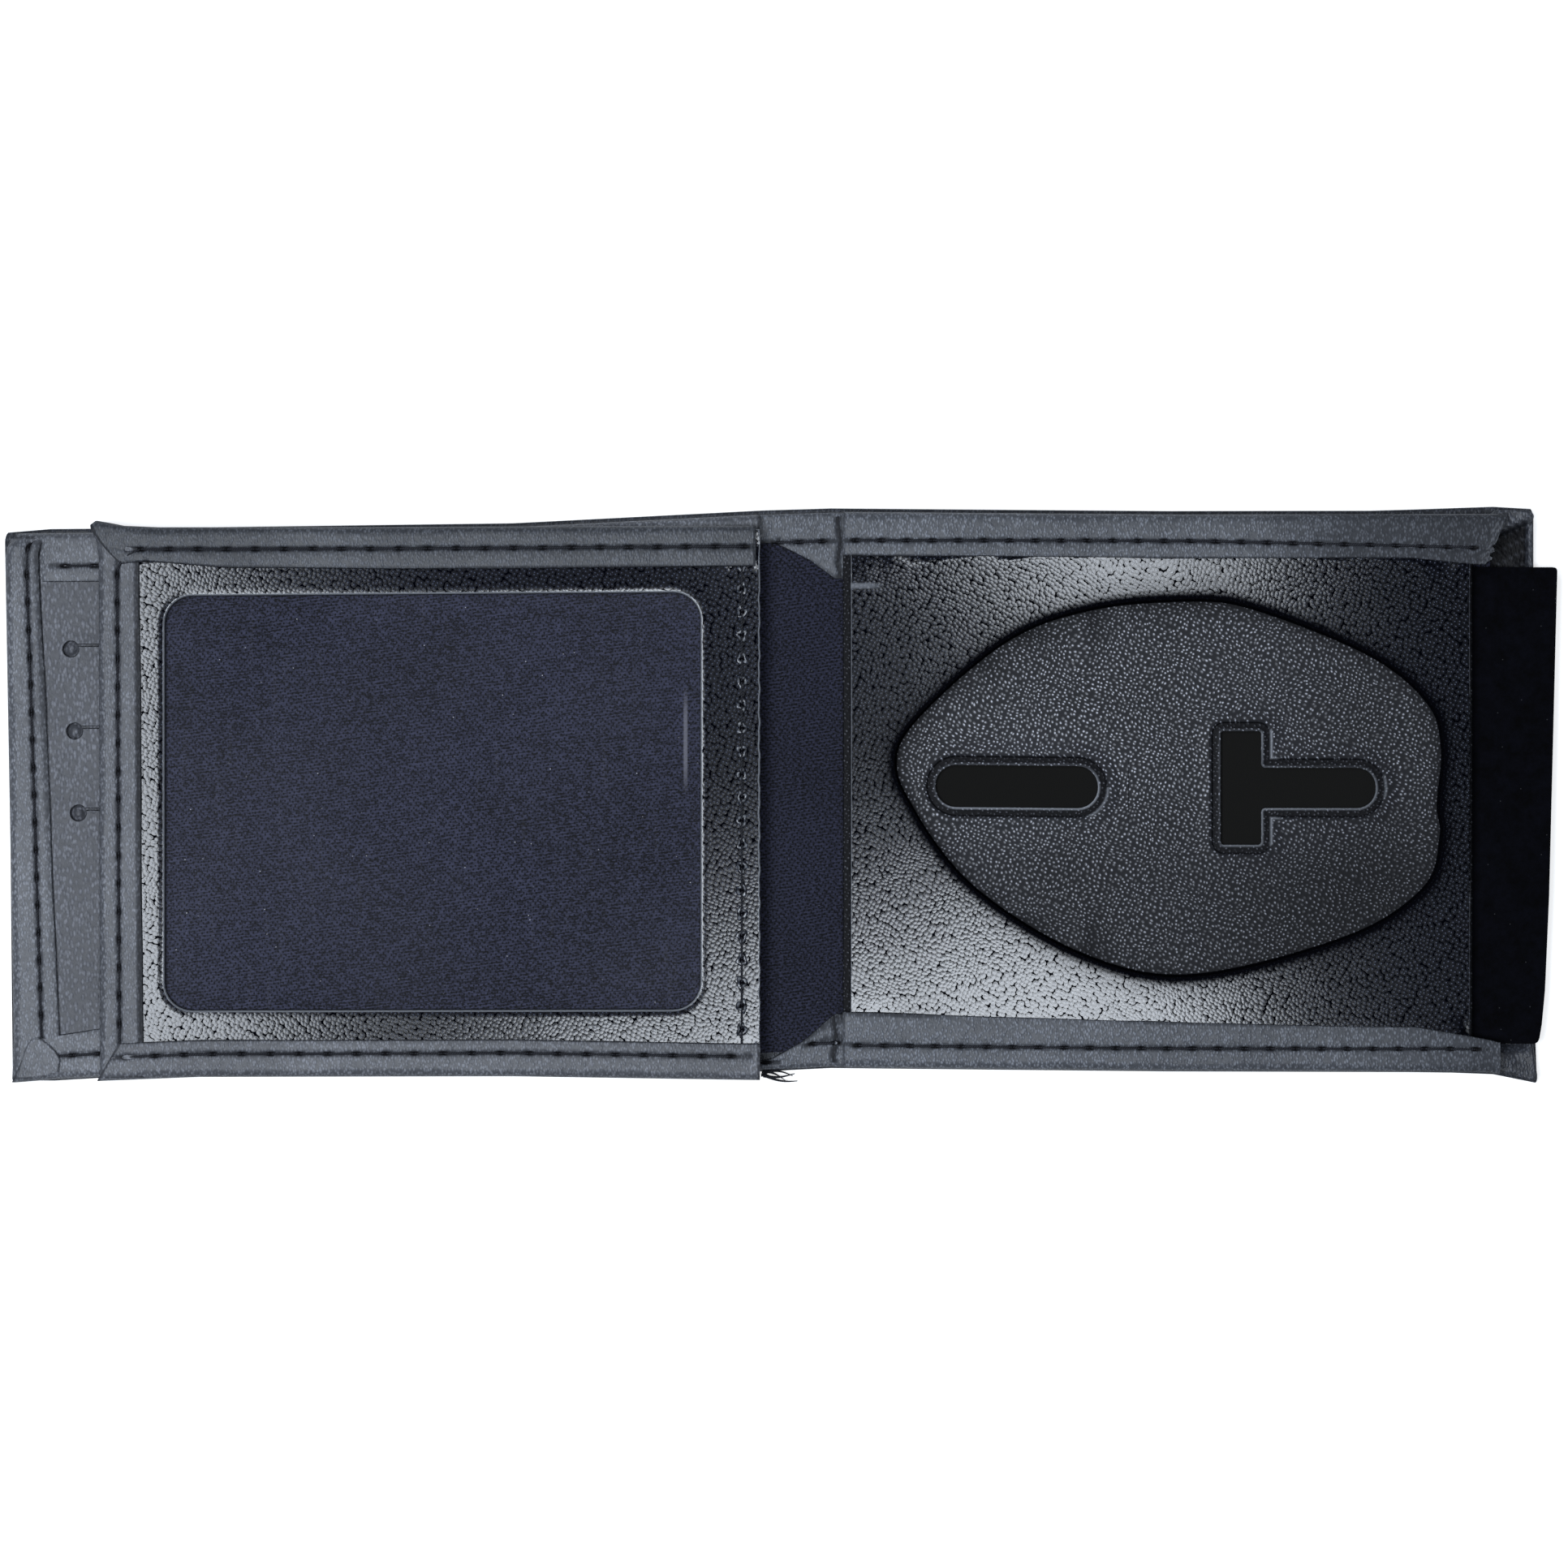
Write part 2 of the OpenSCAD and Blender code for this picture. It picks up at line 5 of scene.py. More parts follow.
import bmesh
import bpy
import numpy as np
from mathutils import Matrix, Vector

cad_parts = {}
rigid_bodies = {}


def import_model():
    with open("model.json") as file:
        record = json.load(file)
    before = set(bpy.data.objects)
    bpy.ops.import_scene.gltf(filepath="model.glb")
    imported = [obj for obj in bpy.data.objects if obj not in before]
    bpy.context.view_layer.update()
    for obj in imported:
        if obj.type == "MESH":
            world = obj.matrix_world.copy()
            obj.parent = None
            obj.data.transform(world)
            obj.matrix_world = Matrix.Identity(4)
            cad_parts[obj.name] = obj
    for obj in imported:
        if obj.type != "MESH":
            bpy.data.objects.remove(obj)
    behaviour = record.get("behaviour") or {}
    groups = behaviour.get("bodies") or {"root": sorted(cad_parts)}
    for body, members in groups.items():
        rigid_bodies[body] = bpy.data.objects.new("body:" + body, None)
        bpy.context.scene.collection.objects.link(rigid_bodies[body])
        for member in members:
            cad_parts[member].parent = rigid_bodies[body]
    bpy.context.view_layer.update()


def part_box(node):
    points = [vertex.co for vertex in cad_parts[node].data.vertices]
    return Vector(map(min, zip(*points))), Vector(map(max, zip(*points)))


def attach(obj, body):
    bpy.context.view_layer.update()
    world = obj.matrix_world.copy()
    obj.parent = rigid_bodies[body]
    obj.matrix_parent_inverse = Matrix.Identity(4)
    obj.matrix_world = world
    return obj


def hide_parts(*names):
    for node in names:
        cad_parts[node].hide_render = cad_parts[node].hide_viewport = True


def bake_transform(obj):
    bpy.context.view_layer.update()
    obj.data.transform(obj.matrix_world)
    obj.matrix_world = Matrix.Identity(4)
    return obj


# An empty table: what a new Blender file holds goes first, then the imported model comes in.
for leftover in list(bpy.data.objects):
    bpy.data.objects.remove(leftover, do_unlink=True)
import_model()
scene = bpy.context.scene

# ---------------------------------------------------------------------------
# Table and light
# A white table under the open wallet, two soft boxes and two small ones above it, and a camera that looks
# straight down from 850 mm, so that 232 mm of the table fill the picture's width.
MM = 0.001
camera_height, picture_wide = 850, 232.4

camera = bpy.data.objects.new("camera", bpy.data.cameras.new("camera"))
camera.data.lens = camera.data.sensor_width * camera_height / picture_wide
camera.location = (0.1 * MM, 1.2 * MM, camera_height * MM)
camera.data.clip_start = 0.05
scene.collection.objects.link(camera)
scene.camera = camera
scene.view_settings.view_transform = "Standard"


def feed(node, inputs):
    """Each socket named takes the value given, or a link from the output given."""
    for socket, value in inputs.items():
        if isinstance(value, bpy.types.NodeSocket):
            node.id_data.links.new(value, node.inputs[socket])
        else:
            node.inputs[socket].default_value = value


def add_node(tree, kind, inputs, **settings):
    """A new shader node of this kind with its settings, its sockets fed."""
    node = tree.nodes.new("ShaderNode" + kind)
    for setting, value in settings.items():
        setattr(node, setting, value)
    feed(node, inputs)
    return node


world = bpy.data.worlds.new("room")
scene.world = world
world.use_nodes = True
room = world.node_tree
room_light = room.nodes["Background"]
feed(room_light, {"Color": (0.82, 0.89, 1.0, 1), "Strength": 0.08})
room_white = add_node(room, "Background", {"Color": (1, 1, 1, 1)})
room_seen = add_node(room, "LightPath", {}).outputs["Is Camera Ray"]
room_mix = add_node(room, "MixShader", {0: room_seen, 1: room_light.outputs[0], 2: room_white.outputs[0]})
feed(room.nodes["World Output"], {0: room_mix.outputs[0]})


def soft_box(name, centre, size, radiance):
    """A flat light of size mm that faces the wallet; its watts are radiance times pi times its area."""
    lamp = bpy.data.objects.new(name, bpy.data.lights.new(name, "AREA"))
    lamp.data.shape = "RECTANGLE"
    lamp.data.size, lamp.data.size_y = size[0] * MM, size[1] * MM
    lamp.data.color = (0.865, 0.925, 1.0)
    lamp.data.energy = radiance * math.pi * lamp.data.size * lamp.data.size_y
    lamp.location = [c * MM for c in centre]
    lamp.rotation_euler = (-lamp.location).to_track_quat("-Z", "Y").to_euler()
    lamp.visible_camera = False
    scene.collection.objects.link(lamp)


soft_box("box_left", centre=(-345, -75, 900), size=(390, 380), radiance=11.0)
soft_box("box_near", centre=(52, -160, 900), size=(215, 235), radiance=13.5)
soft_box("box_far", centre=(90, 88, 900), size=(125, 76), radiance=12.0)
soft_box("box_window", centre=(-260, 430, 850), size=(320, 270), radiance=7.5)


def new_material(name, constants):
    """A material with one Principled shader; constants go straight onto the shader's sockets."""
    made = bpy.data.materials.new(name)
    made.use_nodes = True
    shader = made.node_tree.nodes["Principled BSDF"]
    feed(shader, constants)
    return made, made.node_tree, shader


white, white_tree, white_shader = new_material(
    "white_table", {"Base Color": (0.8, 0.8, 0.8, 1), "Roughness": 0.9, "Specular IOR Level": 0.1}
)
table_seen = add_node(white_tree, "LightPath", {}).outputs["Is Camera Ray"]
table_share = add_node(white_tree, "Math", {0: table_seen, 1: 0.6}, operation="MULTIPLY")
table_glow = add_node(white_tree, "Emission", {"Strength": table_share.outputs[0]})
table_add = add_node(white_tree, "AddShader", {0: white_shader.outputs[0], 1: table_glow.outputs[0]})
feed(white_tree.nodes["Material Output"], {0: table_add.outputs[0]})
table_size = 3.0
table_mesh = bpy.data.meshes.new("table")
corners = np.array([(-1, -1, 0), (1, -1, 0), (1, 1, 0), (-1, 1, 0)]) * table_size / 2
table_mesh.from_pydata(corners.tolist(), [], [(0, 1, 2, 3)])
table_mesh.materials.append(white)
table = bpy.data.objects.new("table", table_mesh)
scene.collection.objects.link(table)

# ---------------------------------------------------------------------------
# Cover
# The outer shell, one piece of black leather with turned edges. It folds at two creases beside the
# spine, so it is made in two lengths that meet in the middle of the spine, each over one crease.
crease_left, crease_right, crease_z, bend = -2.65, 8.05, 2, 2.3
mid_spine = (crease_left + crease_right) / 2
cover_left, cover_right, cover_low, cover_top = -113.85, 111.1, -40.98, 41.62


def bend_at():
    """Where a piece would bend across a crease: this only bakes the piece's transform into its mesh."""
    return lambda made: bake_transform(made)


bend_left, bend_right = bend_at(), bend_at()


def fit(made, rides, slot, *nodes):
    """Places a piece: it rides the body named, or the bend function is called on it; the nodes it stands for are
    hidden. Slot is not used.
    """
    if callable(rides):
        rides(made)
    else:
        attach(made, rides)
    if nodes:
        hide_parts(*nodes)
    return made


def lie(points):
    """How the open wallet lies. The leather isn't square to its spine: top and bottom edges wander by
    a few mm along X, and every point between them shifts by the share of the height that it stands at. The
    outer end leans, and the lower right corner is pulled out to a tip."""
    x = points[..., 0]
    top = np.interp(x, [-113, -101, -40, -3, 7, 57, 110], [-2.7, -2.6, -1.8, 0.1, 0.4, 0.0, 0.1])
    low_x = [-113, -107, -101, -40, -3, 7, 57, 93, 104, 108, 111]
    low = np.interp(x, low_x, [-2.2, -1.7, -1.35, -0.7, -0.4, 0.1, -0.4, -0.5, -0.65, -1.2, -1.9])
    share = (points[..., 1] - cover_low) / (cover_top - cover_low)
    laid = points.copy()
    lean = 1.5 * np.clip(share, 0, 1) + 0.4 * np.clip(1 - 12 * share, 0, 1)
    laid[..., 0] -= np.interp(x, [-114, -100], [1, 0]) * lean
    laid[..., 1] += low + (top - low) * share
    pulled = 0.8 * np.exp(-((x - 111) ** 2 + (points[..., 1] - cover_low) ** 2) / 8)
    laid[..., 0] += pulled
    laid[..., 1] -= pulled
    return laid


def grid_faces(rows, columns, ring_rows, first):
    """Four-sided faces of a grid of points. Columns close into a ring, and rows do if ring_rows."""
    r, c = np.meshgrid(np.arange(rows if ring_rows else rows - 1), np.arange(columns), indexing="ij")
    r2, c2 = (r + 1) % rows, (c + 1) % columns
    quads = np.stack([r * columns + c, r2 * columns + c, r2 * columns + c2, r * columns + c2], -1)
    return (quads.reshape(-1, 4) + first).tolist()


def piece(name, skins, material, ring_rows=False, wear_and_highlight=None, hole=None):
    """A named mesh from skins, arrays of points in mm with rows along the piece and columns round it.
    Columns close into a ring; rows close too, or end in a cap. Two marks give values per point, nought
    where none is given: one pales the colour for wear and for painted highlights, the other darkens it
    as painted shade. Edges over 38 degrees stay sharp."""
    points, faces, first = [], [], 0
    for skin in skins:
        rows, columns = skin.shape[:2]
        points.append(skin.reshape(-1, 3))
        faces += grid_faces(rows, columns, ring_rows, first)
        if not ring_rows:
            faces.append(list(range(first, first + columns)))
            faces.append(list(range(first + (rows - 1) * columns, first + rows * columns)))
        first += rows * columns
    mesh = bpy.data.meshes.new(name)
    mesh.from_pydata((np.concatenate(points) * MM).tolist(), [], faces)
    for mark, values in (("wear_and_highlight", wear_and_highlight), ("hole", hole)):
        values = values or [np.zeros(skin.shape[:2]) for skin in skins]
        layer = mesh.attributes.new(mark, "FLOAT", "POINT")
        layer.data.foreach_set("value", np.concatenate([v.ravel() for v in values]).astype(np.float32))
    shell = bmesh.new()
    shell.from_mesh(mesh)
    bmesh.ops.recalc_face_normals(shell, faces=shell.faces)
    shell.to_mesh(mesh)
    shell.free()
    mesh.shade_smooth()
    mesh.set_sharp_from_angle(angle=math.radians(38))
    mesh.materials.append(material)
    made = bpy.data.objects.new(name, mesh)
    scene.collection.objects.link(made)
    return made


def stations(start, end, step, fine=(), fine_step=0.5, edge=0.5):
    """Places along a piece: even steps, close steps near each fine place, and close ones at both ends."""
    places = [np.linspace(start, end, max(2, int(abs(end - start) / step) + 1))]
    for place in fine:
        places.append(np.arange(place - 4, place + 4, fine_step))
    rounding = edge * (1 - np.cos(np.linspace(0, math.pi / 2, 5)))
    places += [start + rounding, end - rounding]
    joined = np.unique(np.round(np.concatenate(places), 4))
    return joined[(joined >= start) & (joined <= end)]


def flat_sheet(x, low, top, z_low, z_high, edge, corner=0.0, runs=8, cut_ends=(False, False)):
    """A flat sheet as rows along X. Each row is a rectangle with rounded corners of radius edge; towards
    both ends the row shrinks on a quarter circle, and the plan's corners are rounded by corner. An end
    that is cut square, to meet the next length, keeps its full row."""
    x = np.asarray(x, float)
    from_end = np.minimum(x - x[0] + 99 * cut_ends[0], x[-1] - x + 99 * cut_ends[1])
    thin = np.sqrt(1 - (1 - np.clip(from_end / edge, 0, 1)) ** 2) * 0.9 + 0.1
    plan = corner - np.sqrt(np.clip(corner**2 - (corner - np.clip(from_end, 0, corner)) ** 2, 0, None))
    low, top = low + plan + edge * (1 - thin), top - plan - edge * (1 - thin)
    angle = np.linspace(0, math.pi / 2, 4)
    across = np.linspace(0, 1, runs)
    turn = np.concatenate([angle - math.pi / 2, angle, angle + math.pi / 2, angle + math.pi])
    side = np.repeat([1.0, 1.0, 0.0, 0.0], 4)
    lift = np.repeat([0.0, 1.0, 1.0, 0.0], 4)
    straight = np.full(runs - 2, math.pi / 2)
    side = np.concatenate([side[:8], across[::-1][1:-1], side[8:], across[1:-1]])
    lift = np.concatenate([lift[:8], np.ones(runs - 2), lift[8:], np.zeros(runs - 2)])
    turn = np.concatenate([turn[:8], straight, turn[8:], -straight])
    inset = 1 - 2 * side
    inner = (side == 0) | (side == 1)
    y = low[:, None] * (1 - side) + top[:, None] * side
    y = y + np.where(inner, edge * inset + edge * np.cos(turn), 0)
    middle, half = (z_low + z_high) / 2, (z_high - z_low) / 2
    z = (half - edge) * (2 * lift - 1) + edge * np.sin(turn)
    return np.stack([np.broadcast_to(x[:, None], y.shape), y, middle + z[None, :] * thin[:, None]], -1)


def mm_space(tree, turn=0.0, stretch=(1, 1, 1), lean=0.0):
    """Object coordinates in mm, stretched, turned about Z, and leant so that a flat pattern also runs on
    down a steep edge."""
    place = add_node(tree, "TexCoord", {}).outputs["Object"]
    inputs = {"Vector": place, "Rotation": (lean, 0.8 * lean, turn), "Scale": [s / MM for s in stretch]}
    return add_node(tree, "Mapping", inputs).outputs[0]


def noise(space, scale, detail=3.0, roughness=0.5, output="Fac"):
    """A soft cloud pattern on the piece's own coordinates, in cells per mm."""
    inputs = {"Vector": space, "Scale": scale, "Detail": detail, "Roughness": roughness}
    return add_node(space.id_data, "TexNoise", inputs).outputs[output]


def cells(space, scale, spread=1.0, dimensions="2D"):
    """Distance to the nearest grain centre, about 0 to 0.7, for grains of a given count per mm."""
    inputs = {"Vector": space, "Scale": scale, "Randomness": spread}
    return add_node(space.id_data, "TexVoronoi", inputs, voronoi_dimensions=dimensions).outputs["Distance"]


def ramp(value, low, high, to_low=0.0, to_high=1.0, kind="LINEAR"):
    """A value from low to high becomes to_low to to_high."""
    inputs = {"Value": value, "From Min": low, "From Max": high, "To Min": to_low, "To Max": to_high}
    return add_node(value.id_data, "MapRange", inputs, interpolation_type=kind).outputs[0]


def join(kind, a, b):
    """The value a joined with the value or number b by one sum, product or other step."""
    return add_node(a.id_data, "Math", {0: a, 1: b}, operation=kind).outputs[0]


def shaded(colour, share):
    """The colour made darker or lighter by a factor."""
    return tuple(share * c for c in colour)


def tint(share, a, b):
    """Colour a where share is 0 and colour b where it is 1; either may be another colour's output."""
    a, b = ((*colour, 1) if isinstance(colour, tuple) else colour for colour in (a, b))
    return add_node(share.id_data, "Mix", {"Factor": share, 6: a, 7: b}, data_type="RGBA").outputs[2]


def bump(height, depth, below=None):
    """Relief of a height pattern, depth mm deep, over any relief below it."""
    inputs = {"Height": height, "Distance": depth * MM}
    if below is not None:
        inputs["Normal"] = below
    return add_node(height.id_data, "Bump", inputs).outputs[0]


def mark_of(tree, name):
    """The shade value that the mesh carries under this name."""
    return add_node(tree, "Attribute", {}, attribute_name=name).outputs["Fac"]


def smooth_leather(name, colour, gloss=0.5, grain=0.35, depth=0.05, grained=0.5):
    """Calf-like leather: fine slanted grain with creases and cloudy colour under a thin waxed finish,
    near black and dull where painted shade is marked, in the stitch holes and elsewhere, and pale where
    wear or a painted highlight is marked."""
    made, tree, shader = new_material(name, {"Coat Roughness": 0.36, "Coat IOR": 1.5, "Specular IOR Level": 0.15})
    plain = mm_space(tree)
    slanted = mm_space(tree, turn=0.6, stretch=(1.0, 0.55, 1.0))
    grains = cells(slanted, 1 / grain, dimensions="3D")
    folds = noise(slanted, 0.9, 4, 0.6)
    cloud, fleck = noise(plain, 0.06), noise(plain, 1.4)
    hole = mark_of(tree, "hole")
    shade = join("ADD", ramp(cloud, 0.3, 0.7, 0.1, 0.6), ramp(fleck, 0.35, 0.65, -0.1, 0.55))
    base = tint(shade, shaded(colour, 0.5), shaded(colour, 1.5))
    base = tint(ramp(grains, 0.05, 0.3, grained, 0.0), base, shaded(colour, 2.1))
    base = tint(ramp(grains, 0.3, 0.6, 0.0, 0.8), base, shaded(colour, 0.4))
    base = tint(mark_of(tree, "wear_and_highlight"), base, (0.3, 0.31, 0.34))
    relief = bump(ramp(grains, 0.1, 0.6, 1.0, 0.0), depth, bump(folds, 0.10))
    feed(shader, {
        "Base Color": tint(hole, base, (0.003, 0.003, 0.004)),
        "Coat Weight": join("MULTIPLY", ramp(hole, 0.0, 0.25, gloss, 0.0), ramp(cloud, 0.3, 0.7, 0.7, 1.0)),
        "Roughness": ramp(cloud, 0.3, 0.7, 0.5, 0.62),
        "Normal": relief,
        "Coat Normal": relief,
    })
    return made


cover_leather = smooth_leather("cover_leather", (0.04, 0.044, 0.056))


def cover_length(name, start, end, crease):
    """One length of the cover, 1 mm thick, with close rows where it bends."""
    x = stations(start, end, step=6, fine=(crease,), edge=0.45)
    cuts = (start == mid_spine, end == mid_spine)
    top = cover_top + np.interp(x, [88, 110], [0, 0.7])
    skin = lie(flat_sheet(x, cover_low, top, z_low=0.0, z_high=1.0, edge=0.45, corner=1.6, cut_ends=cuts))
    return piece(name, [skin], cover_leather)


cover_id_side = cover_length("cover_id_side", cover_left, mid_spine, crease_left)
cover_badge_side = cover_length("cover_badge_side", mid_spine, cover_right, crease_right)
fit(cover_id_side, bend_left, "cover_leather", "cover_left")
fit(cover_badge_side, bend_right, "cover_leather", "cover_spine", "cover_right")

# ---------------------------------------------------------------------------
# Linings
# Thin black twill over the inside of the cover, cemented at its rim. It shows only between the
# creases, where the bands leave the spine bare.
sewn_left, sewn_low, sewn_top, lining_right = -112.75, -39.88, 40.12, 104.55


def twill_cloth(name, colour, turn, pitch=0.48):
    """Twill weave: slanted ribs of a given pitch in mm, cut into short floats, with pale picks, dark
    pinholes between the threads, and lint."""
    made, tree, shader = new_material(
        name, {"Roughness": 0.85, "Sheen Weight": 0.05, "Sheen Roughness": 0.5, "Specular IOR Level": 0.25}
    )
    slant, plain = mm_space(tree, turn=turn), mm_space(tree)
    ribs = {"Vector": slant, "Scale": 1 / pitch / 3.2, "Distortion": 0.5, "Detail Scale": 2.0}
    rib = add_node(tree, "TexWave", ribs, bands_direction="Y").outputs["Fac"]
    floats = cells(mm_space(tree, turn=turn, stretch=(0.55, 1.0, 1.0)), 1 / pitch, 0.7)
    weave = join("MULTIPLY", rib, ramp(floats, 0.0, 0.7, 1.0, 0.35))
    picks = ramp(noise(mm_space(tree, stretch=(1.0, 2.2, 1.0)), 1.5, 3, 0.75), 0.38, 0.62, -0.15, 0.8)
    pins = cells(mm_space(tree, turn=0.785 + turn, stretch=(1.886, 1.414, 1.0)), 1.0, 0.3)
    shade = join("ADD", ramp(weave, 0.2, 0.7, 0.0, 0.4), ramp(noise(plain, 0.05), 0.3, 0.7, 0.0, 0.2))
    shade = join("MULTIPLY", join("ADD", shade, picks), ramp(pins, 0.12, 0.36, 0.0, 1.0, "SMOOTHSTEP"))
    base = tint(shade, shaded(colour, 0.05), shaded(colour, 2.6))
    base = tint(ramp(cells(plain, 0.13), 0.005, 0.011, 0.4, 0.0), base, (0.25, 0.26, 0.3))
    feed(shader, {"Base Color": base, "Normal": bump(weave, 0.2)})
    return made


spine_twill = twill_cloth("lining_twill", (0.0125, 0.0135, 0.025), turn=-0.16)


def lining_length(name, start, end, crease):
    """One length of the lining, 0.3 mm thick, laid over the cover."""
    x = stations(start, end, step=6, fine=(crease,), edge=0.12)
    cuts = (start == mid_spine, end == mid_spine)
    skin = lie(flat_sheet(x, sewn_low, sewn_top, z_low=1.7, z_high=2.0, edge=0.12, cut_ends=cuts))
    return piece(name, [skin], spine_twill)


lining_id_side = lining_length("lining_id_side", sewn_left, mid_spine, crease_left)
lining_badge_side = lining_length("lining_badge_side", mid_spine, lining_right, crease_right)
fit(lining_id_side, bend_left, "twill", "lining_left")
fit(lining_badge_side, bend_right, "twill", "lining_spine", "lining_right")

# ---------------------------------------------------------------------------
# Turned bands of the ID half
# Strips of smooth leather folded over the outer, top and bottom edges and sewn through near the raw
# edge. The thread sinks into the leather and pulls a dark lens-shaped dimple at each needle hole.
id_band_leather = smooth_leather("id_band_leather", (0.15, 0.158, 0.18), grained=0.3)
thread_rows = {"left_half": [], "right_half": [], "spine": [], "id_flap": []}
hinge_x = -3.45  # where the ID half and its leaf end beside the spine


def follow(s, table):
    """A value along a band, straight between the table's (place, value) pairs, or one value throughout."""
    if isinstance(table, (int, float)):
        return np.full_like(s, table)
    places, values = np.array(table, float).T
    return np.interp(s, places, values)


def turned_band(start, end, reach, z_low, z_high, stitch, pitch, holes, slant=(0.0, 0.0), wave=0.0, shade=0.0,
                cut=(0.55, 0.55), fold_at=None, frayed=0.0, rim=0.2, dim=0.0, lit=0.0, hook=0.0):
    """A folded strip as rows along it and columns round its section, in (place, depth, height).
    The section is a U on its side: round fold at depth 0, upper leg to reach, lower leg a few mm long.
    The upper leg swells between fold, seam and raw edge; a groove follows the stitch line, and at every
    pitch mm a dimple sinks in it. Slant moves each end by that many mm per mm of depth, and hook bows the
    first one. The needle holes get painted shade. Shade lays painted shade on the leather inside the seam,
    dim on all of it, cut on the two ends and rim on a strip of that many mm along the raw edge; lit paints
    a highlight on the fold. A sharp crease with painted shade can cross it at fold_at, and the far end can be
    frayed."""
    rows = max(12, int((end - start) / 0.24))
    s = np.linspace(0, 1, rows)[:, None]
    middle = start + (end - start) * s
    w, low, high, line = (follow(middle, table) for table in (reach, z_low, z_high, stitch))

    # The section's depths and heights, from the raw edge over the upper leg and the fold to the lower leg.
    leather, tall, raw = 0.5, high - low, w - 0.12
    fold, toe = np.minimum(1.25, tall * 0.48), np.minimum(0.9, tall * 0.48)
    quarter = np.linspace(0, math.pi / 2, 6)[1:]
    around = np.clip(np.minimum(line - fold, raw - line) - 0.03, 0.04, 0.6)
    beyond = raw + (line + around - raw) * np.linspace(0, 1, 7)[:-1]
    at_seam = line + around * np.linspace(1, -1, 11)
    before = line - around + (fold - line + around) * np.linspace(0, 1, 6)[1:]
    half = np.maximum(tall / 2 - leather, 0.05)
    bore, half_turn = np.minimum(half, 1.0), np.linspace(-math.pi / 2, math.pi / 2, 5)
    back_rise = np.array([0, 0, 0.1, 0.4, 0.5, 0.5])
    d = np.concatenate([
        w, w, beyond, at_seam, before, fold * (1 - np.sin(quarter)), toe * (1 - np.cos(quarter)),
        0 * w + [1.6, 3.4, 3.6, 3.6, 3.4, 1.6], bore + leather - bore * np.cos(half_turn), np.maximum(w - 1.0, 2.5),
    ], 1)
    z = np.concatenate([
        high - leather, high - 0.12, high + np.zeros(22), high - fold * (1 - np.cos(quarter)),
        low + toe * (1 - np.sin(quarter)), low + back_rise * np.minimum(1, tall / 1.4),
        (low + high) / 2 + half * np.sin(half_turn), high - leather,
    ], 1)

    # Each point's place along the band, and the relief of the upper leg: swell, seam, dimples.
    upper = np.zeros(d.shape[1])
    upper[1:24] = 1
    away = np.clip(d / w, 0, 1)
    lean = slant[0] * d + hook * d**2
    place = start + lean + (end - start + slant[1] * d - lean) * s
    phase = (place - holes[0]) / pitch
    at_hole = (phase - np.round(phase)) * pitch
    within = (place > holes[0] - 1) & (place < holes[1] + 1)
    seam = np.exp(-(((d - line) / 0.34) ** 2)) * ((place > holes[0] - 2.2) & (place < holes[1] + 2.2))
    dimple = np.exp(-(((d - line) / 0.3) ** 2) - (at_hole / 0.6) ** 2) * within
    outside = np.sin(math.pi * np.clip(d / line, 0, 1)) * (d < line)
    inside = np.sin(math.pi * np.clip((d - line) / (w - line), 0, 1))
    puff = 0.05 * outside + 0.1 * inside + 0.05 * np.sin(place / 5.3) + 0.03 * np.sin(place / 2.1 + 1)
    z = z + upper * (puff - 0.12 * seam - 0.2 * dimple - 0.05)
    d = d + upper * away * wave * (np.sin(place / 7.7) + 0.5 * np.sin(place / 3.1 + 2)) / 1.5

    # Painted shade in the needle holes, past the seam, at the raw edge, on the cut ends and in the crease;
    # then a painted highlight on the fold, and pale fibres at a frayed end.
    pucker = np.exp(-(((d - line) / 0.27) ** 2) - (at_hole / 0.62) ** 2) * within * upper
    hole = np.clip(2.2 * pucker + 0.6 * seam * upper, 0, 1)
    rub = 0.75 + 0.25 * np.sin(place * 3.7) * np.sin(place * 1.3 + 2 * d)
    across = np.clip((d - line + 0.3) / (w - line + 0.3), 0, 1)
    past_seam = np.clip((d - line + 0.4) / 0.5, 0, 1) * upper * (0.55 + 0.45 * np.cos(2 * math.pi * across))
    hole = np.maximum(hole, follow(middle, shade) * rub * past_seam)
    hole = np.maximum(hole, 0.75 * upper * np.clip((d - w + rim) / 0.2, 0, 1))
    hole = np.maximum(hole, follow(middle, dim) * (0.8 + 0.2 * rub))
    hole[:, 0] = 0.7
    hole[:2] = np.maximum(hole[:2], cut[0])
    hole[-2:] = np.maximum(hole[-2:], cut[1])
    if fold_at is not None:
        crease = np.exp(-(((place + 0.2 * np.sin(d * 1.1) - fold_at) / 0.42) ** 2)) * (upper > 0)
        z = z - 0.3 * crease
        hole = np.maximum(hole, 0.9 * crease)
    wear_and_highlight = np.zeros_like(hole)
    wear_and_highlight[:, 27:29] = follow(middle, lit)
    if frayed:
        wear_and_highlight[-6:] = frayed * np.clip(np.sin(7 * d[-6:]) * np.sin(9 * place[-6:] + 3 * d[-6:]), 0, 1) * upper
        place = place + frayed * 0.5 * (s > 0.999) * np.sin(5 * d) * upper
    return np.stack([place, d, z], -1), hole, wear_and_highlight


def on_edge(edge, fold, seen):
    """From (place, depth, height) to the wallet's frame, for a band folded over its top, low or left edge.
    Fold is where that edge lies: its Y along X, or for the left edge its X along Y."""
    place, depth, height = seen[..., 0], seen[..., 1], seen[..., 2]
    across = follow(place, fold) + (-depth if edge == "top" else depth)
    return np.stack([across, place, height] if edge == "left" else [place, across, height], -1)


